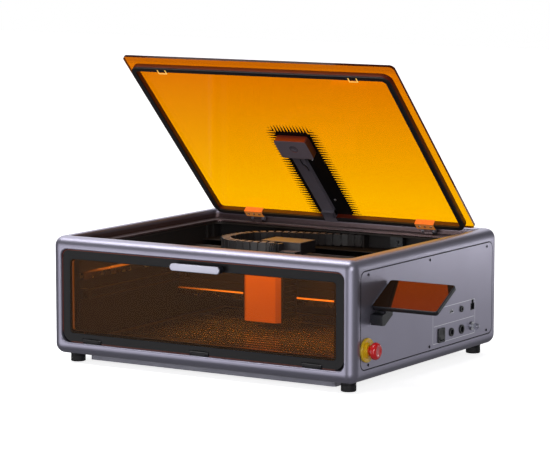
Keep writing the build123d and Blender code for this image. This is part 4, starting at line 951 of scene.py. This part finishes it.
def loop_place(distance, inset, centres, radius):
    """Lengthways place and height on a belt loop: along its top, round one end, back below, round."""
    straight = centres[1] - centres[0]
    arc = math.pi * radius
    reach = radius - inset
    if distance < straight:
        return centres[0] + distance, reach
    distance -= straight
    if distance < arc:
        angle = distance / radius
        return centres[1] + reach * math.sin(angle), reach * math.cos(angle)
    distance -= arc
    if distance < straight:
        return centres[1] - distance, -reach
    angle = (distance - straight) / radius
    return centres[0] - reach * math.sin(angle), -reach * math.cos(angle)


def toothed_loop(bm, low, high, along):
    """Closed belt with teeth on its inner face, filling the box of the CAD belt."""
    across = 1 - along
    radius = (high.z - low.z) / 2
    thickness = 0.7 * MM
    centres = (low[along] + radius, high[along] - radius)
    around = 2 * (centres[1] - centres[0]) + 2 * math.pi * radius
    teeth = int(around / BELT_TOOTH_PITCH)
    middle_z = (low.z + high.z) / 2
    rows = []
    for tooth in range(teeth):
        for part, layers in BELT_TOOTH:
            distance = around * (tooth + part) / teeth
            inset = layers * thickness
            row = []
            for inward, side in ((0, low), (0, high), (inset, high), (inset, low)):
                lengthways, up = loop_place(distance, inward, centres, radius)
                place = Vector((0, 0, middle_z + up))
                place[along] = lengthways
                place[across] = side[across]
                row.append(bm.verts.new(place))
            rows.append(row)
    for first, second in zip(rows, rows[1:] + rows[:1]):
        for corner in range(4):
            after = (corner + 1) % 4
            bm.faces.new((first[corner], first[after], second[after], second[corner]))


def belts():
    """Toothed belts of both axes."""
    bm = bmesh.new()
    for places in solids_of("y_belts"):
        toothed_loop(bm, *extent(places), along=1)
    finish_piece(bm, "toothed_y_belts", "belt", "base", ("y_belts",))
    bm = bmesh.new()
    toothed_loop(bm, *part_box("x_belt"), along=0)
    finish_piece(bm, "toothed_x_belt", "belt", "gantry", ("x_belt",))


def head_wires():
    """Three wires from the chain cover down into the top of the laser head."""
    cover_low, cover_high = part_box("carriage_cover")
    body_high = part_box("laser_body")[1]
    first_x, spacing, radius = -34 * MM, 3.2 * MM, 1.2 * MM
    bm = bmesh.new()
    for number in range(3):
        x = first_x + number * spacing
        start = Vector((x, cover_low.y + 18 * MM, cover_high.z - 6 * MM))
        over = Vector((x, body_high.y + 2 * MM, cover_high.z - (1 + number) * MM))
        end = Vector((x + 3 * MM, body_high.y - 14 * MM, body_high.z - 1 * MM))
        half_way = (over + end) / 2 + Vector((0, 0, 7 * MM))
        cable(bm, (start, over, half_way, end), radius)
    finish_piece(bm, "head_wires", "black_plastic", "carriage")


belts()
head_wires()


# ---- stage --------------------------------------------------------------------------
# Direction, full and fading half-angle in degrees, and strength of each soft box.
SOFT_BOXES = (
    ((-0.52, 0.55, 0.66), 26, 42, 1.35),
    ((0.45, -0.88, -0.12), 10, 26, 1.5),
    ((-0.60, -0.79, -0.12), 8, 24, 1.9),
    ((0.50, 0.86, -0.10), 6, 26, 0.42),
)


def studio_world():
    """White backdrop for the camera; soft boxes and dark gaps for everything that reflects."""
    world = bpy.data.worlds.new("studio")
    bpy.context.scene.world = world
    n = Shading("studio", world)
    toward = n.node("TexCoord").outputs["Generated"]
    level = n.ramp(n.part(toward, "z"), 0.0, 0.6, 0.16, 0.10, smooth=True)
    for direction, inner, outer, strength in SOFT_BOXES:
        along = n.vector("DOT_PRODUCT", toward, tuple(Vector(direction).normalized()), out=1)
        wide, narrow = math.cos(math.radians(outer)), math.cos(math.radians(inner))
        level = n.math("ADD", level, n.ramp(along, wide, narrow, 0.0, strength, smooth=True))
    seen = n.node("Background", {"Color": (1, 1, 1), "Strength": 1.0}).outputs[0]
    lit = n.node("Background", {"Color": (0.97, 0.97, 1.0), "Strength": level}).outputs[0]
    n.done(n.mix(n.ray("Camera"), lit, seen))


def soft_light(name, place, target, size, power):
    """Rectangular lamp that looks at a target and doesn't show."""
    lamp = bpy.data.lights.new(name, "AREA")
    lamp.shape = "RECTANGLE"
    lamp.size, lamp.size_y = size
    lamp.energy = power
    holder = bpy.data.objects.new(name, lamp)
    holder.location = place
    holder.rotation_mode = "QUATERNION"
    holder.rotation_quaternion = (Vector(target) - Vector(place)).to_track_quat("-Z", "Y")
    holder.visible_camera = False
    bpy.context.scene.collection.objects.link(holder)


def pale_floor():
    """Pale paper for the camera; dull grey for bounced light, and unseen in reflections."""
    bm = bmesh.new()
    bmesh.ops.create_grid(bm, x_segments=8, y_segments=8, size=8.0)
    mesh = bpy.data.meshes.new("floor")
    bm.to_mesh(mesh)
    bm.free()
    floor = bpy.data.objects.new("floor", mesh)
    bpy.context.scene.collection.objects.link(floor)
    n = Shading("floor_paper")
    paper = n.principled(
        Base_Color=(0.86, 0.86, 0.87),
        Roughness=0.9,
        Emission_Color=(0.45, 0.45, 0.45),
        Emission_Strength=n.math("MULTIPLY", n.ray("Camera"), 1.8),
    )
    dull = n.node("BsdfDiffuse", {"Color": (0.3, 0.3, 0.31)}).outputs[0]
    unseen = n.node("BsdfTransparent").outputs[0]
    other = n.mix(n.ray("Glossy"), dull, unseen)
    mesh.materials.append(n.done(n.mix(n.ray("Camera"), other, paper)))


# Camera at the photo's angle: azimuth from the front towards the right, elevation above level, and
# lens and sensor in millimetres.
CAMERA_PLACE = (2.2925, -3.6809, 0.7577)
CAMERA_AZIMUTH = math.radians(31.967)
CAMERA_ELEVATION = math.radians(7.094)
CAMERA_LENS = 174.76
CAMERA_SENSOR = 36.0


def photo_camera():
    """Camera that sees the machine as the photo does."""
    level_part = math.cos(CAMERA_ELEVATION)
    back = Vector(
        (
            math.sin(CAMERA_AZIMUTH) * level_part,
            -math.cos(CAMERA_AZIMUTH) * level_part,
            math.sin(CAMERA_ELEVATION),
        )
    )
    lens = bpy.data.cameras.new("camera")
    lens.lens = CAMERA_LENS
    lens.sensor_width = CAMERA_SENSOR
    lens.clip_end = 60.0
    camera = bpy.data.objects.new("camera", lens)
    camera.location = CAMERA_PLACE
    camera.rotation_mode = "QUATERNION"
    camera.rotation_quaternion = (-back).to_track_quat("-Z", "Y")
    bpy.context.scene.collection.objects.link(camera)
    bpy.context.scene.camera = camera


studio_world()
pale_floor()
photo_camera()
# Name, place, target, size in metres and power in watts.
soft_light("key", (-1.1, -0.6, 2.0), (0, 0, 0.1), (0.9, 0.9), 16)
soft_light("top", (0.1, -0.55, 1.3), (0, 0.05, 0.1), (0.5, 0.5), 5)
soft_light("fill", (1.8, -1.7, 0.8), (0.28, -0.15, 0.1), (0.9, 0.9), 12)
soft_light("side", (0.83, 1.06, 0.10), (0.2835, 0.2, 0.19), (0.30, 0.12), 0.45)
soft_light("chamber", (0.0, -0.205, 0.178), (0, 0.0, 0.1), (0.44, 0.012), 0.4)
bpy.context.scene.view_settings.view_transform = "Standard"
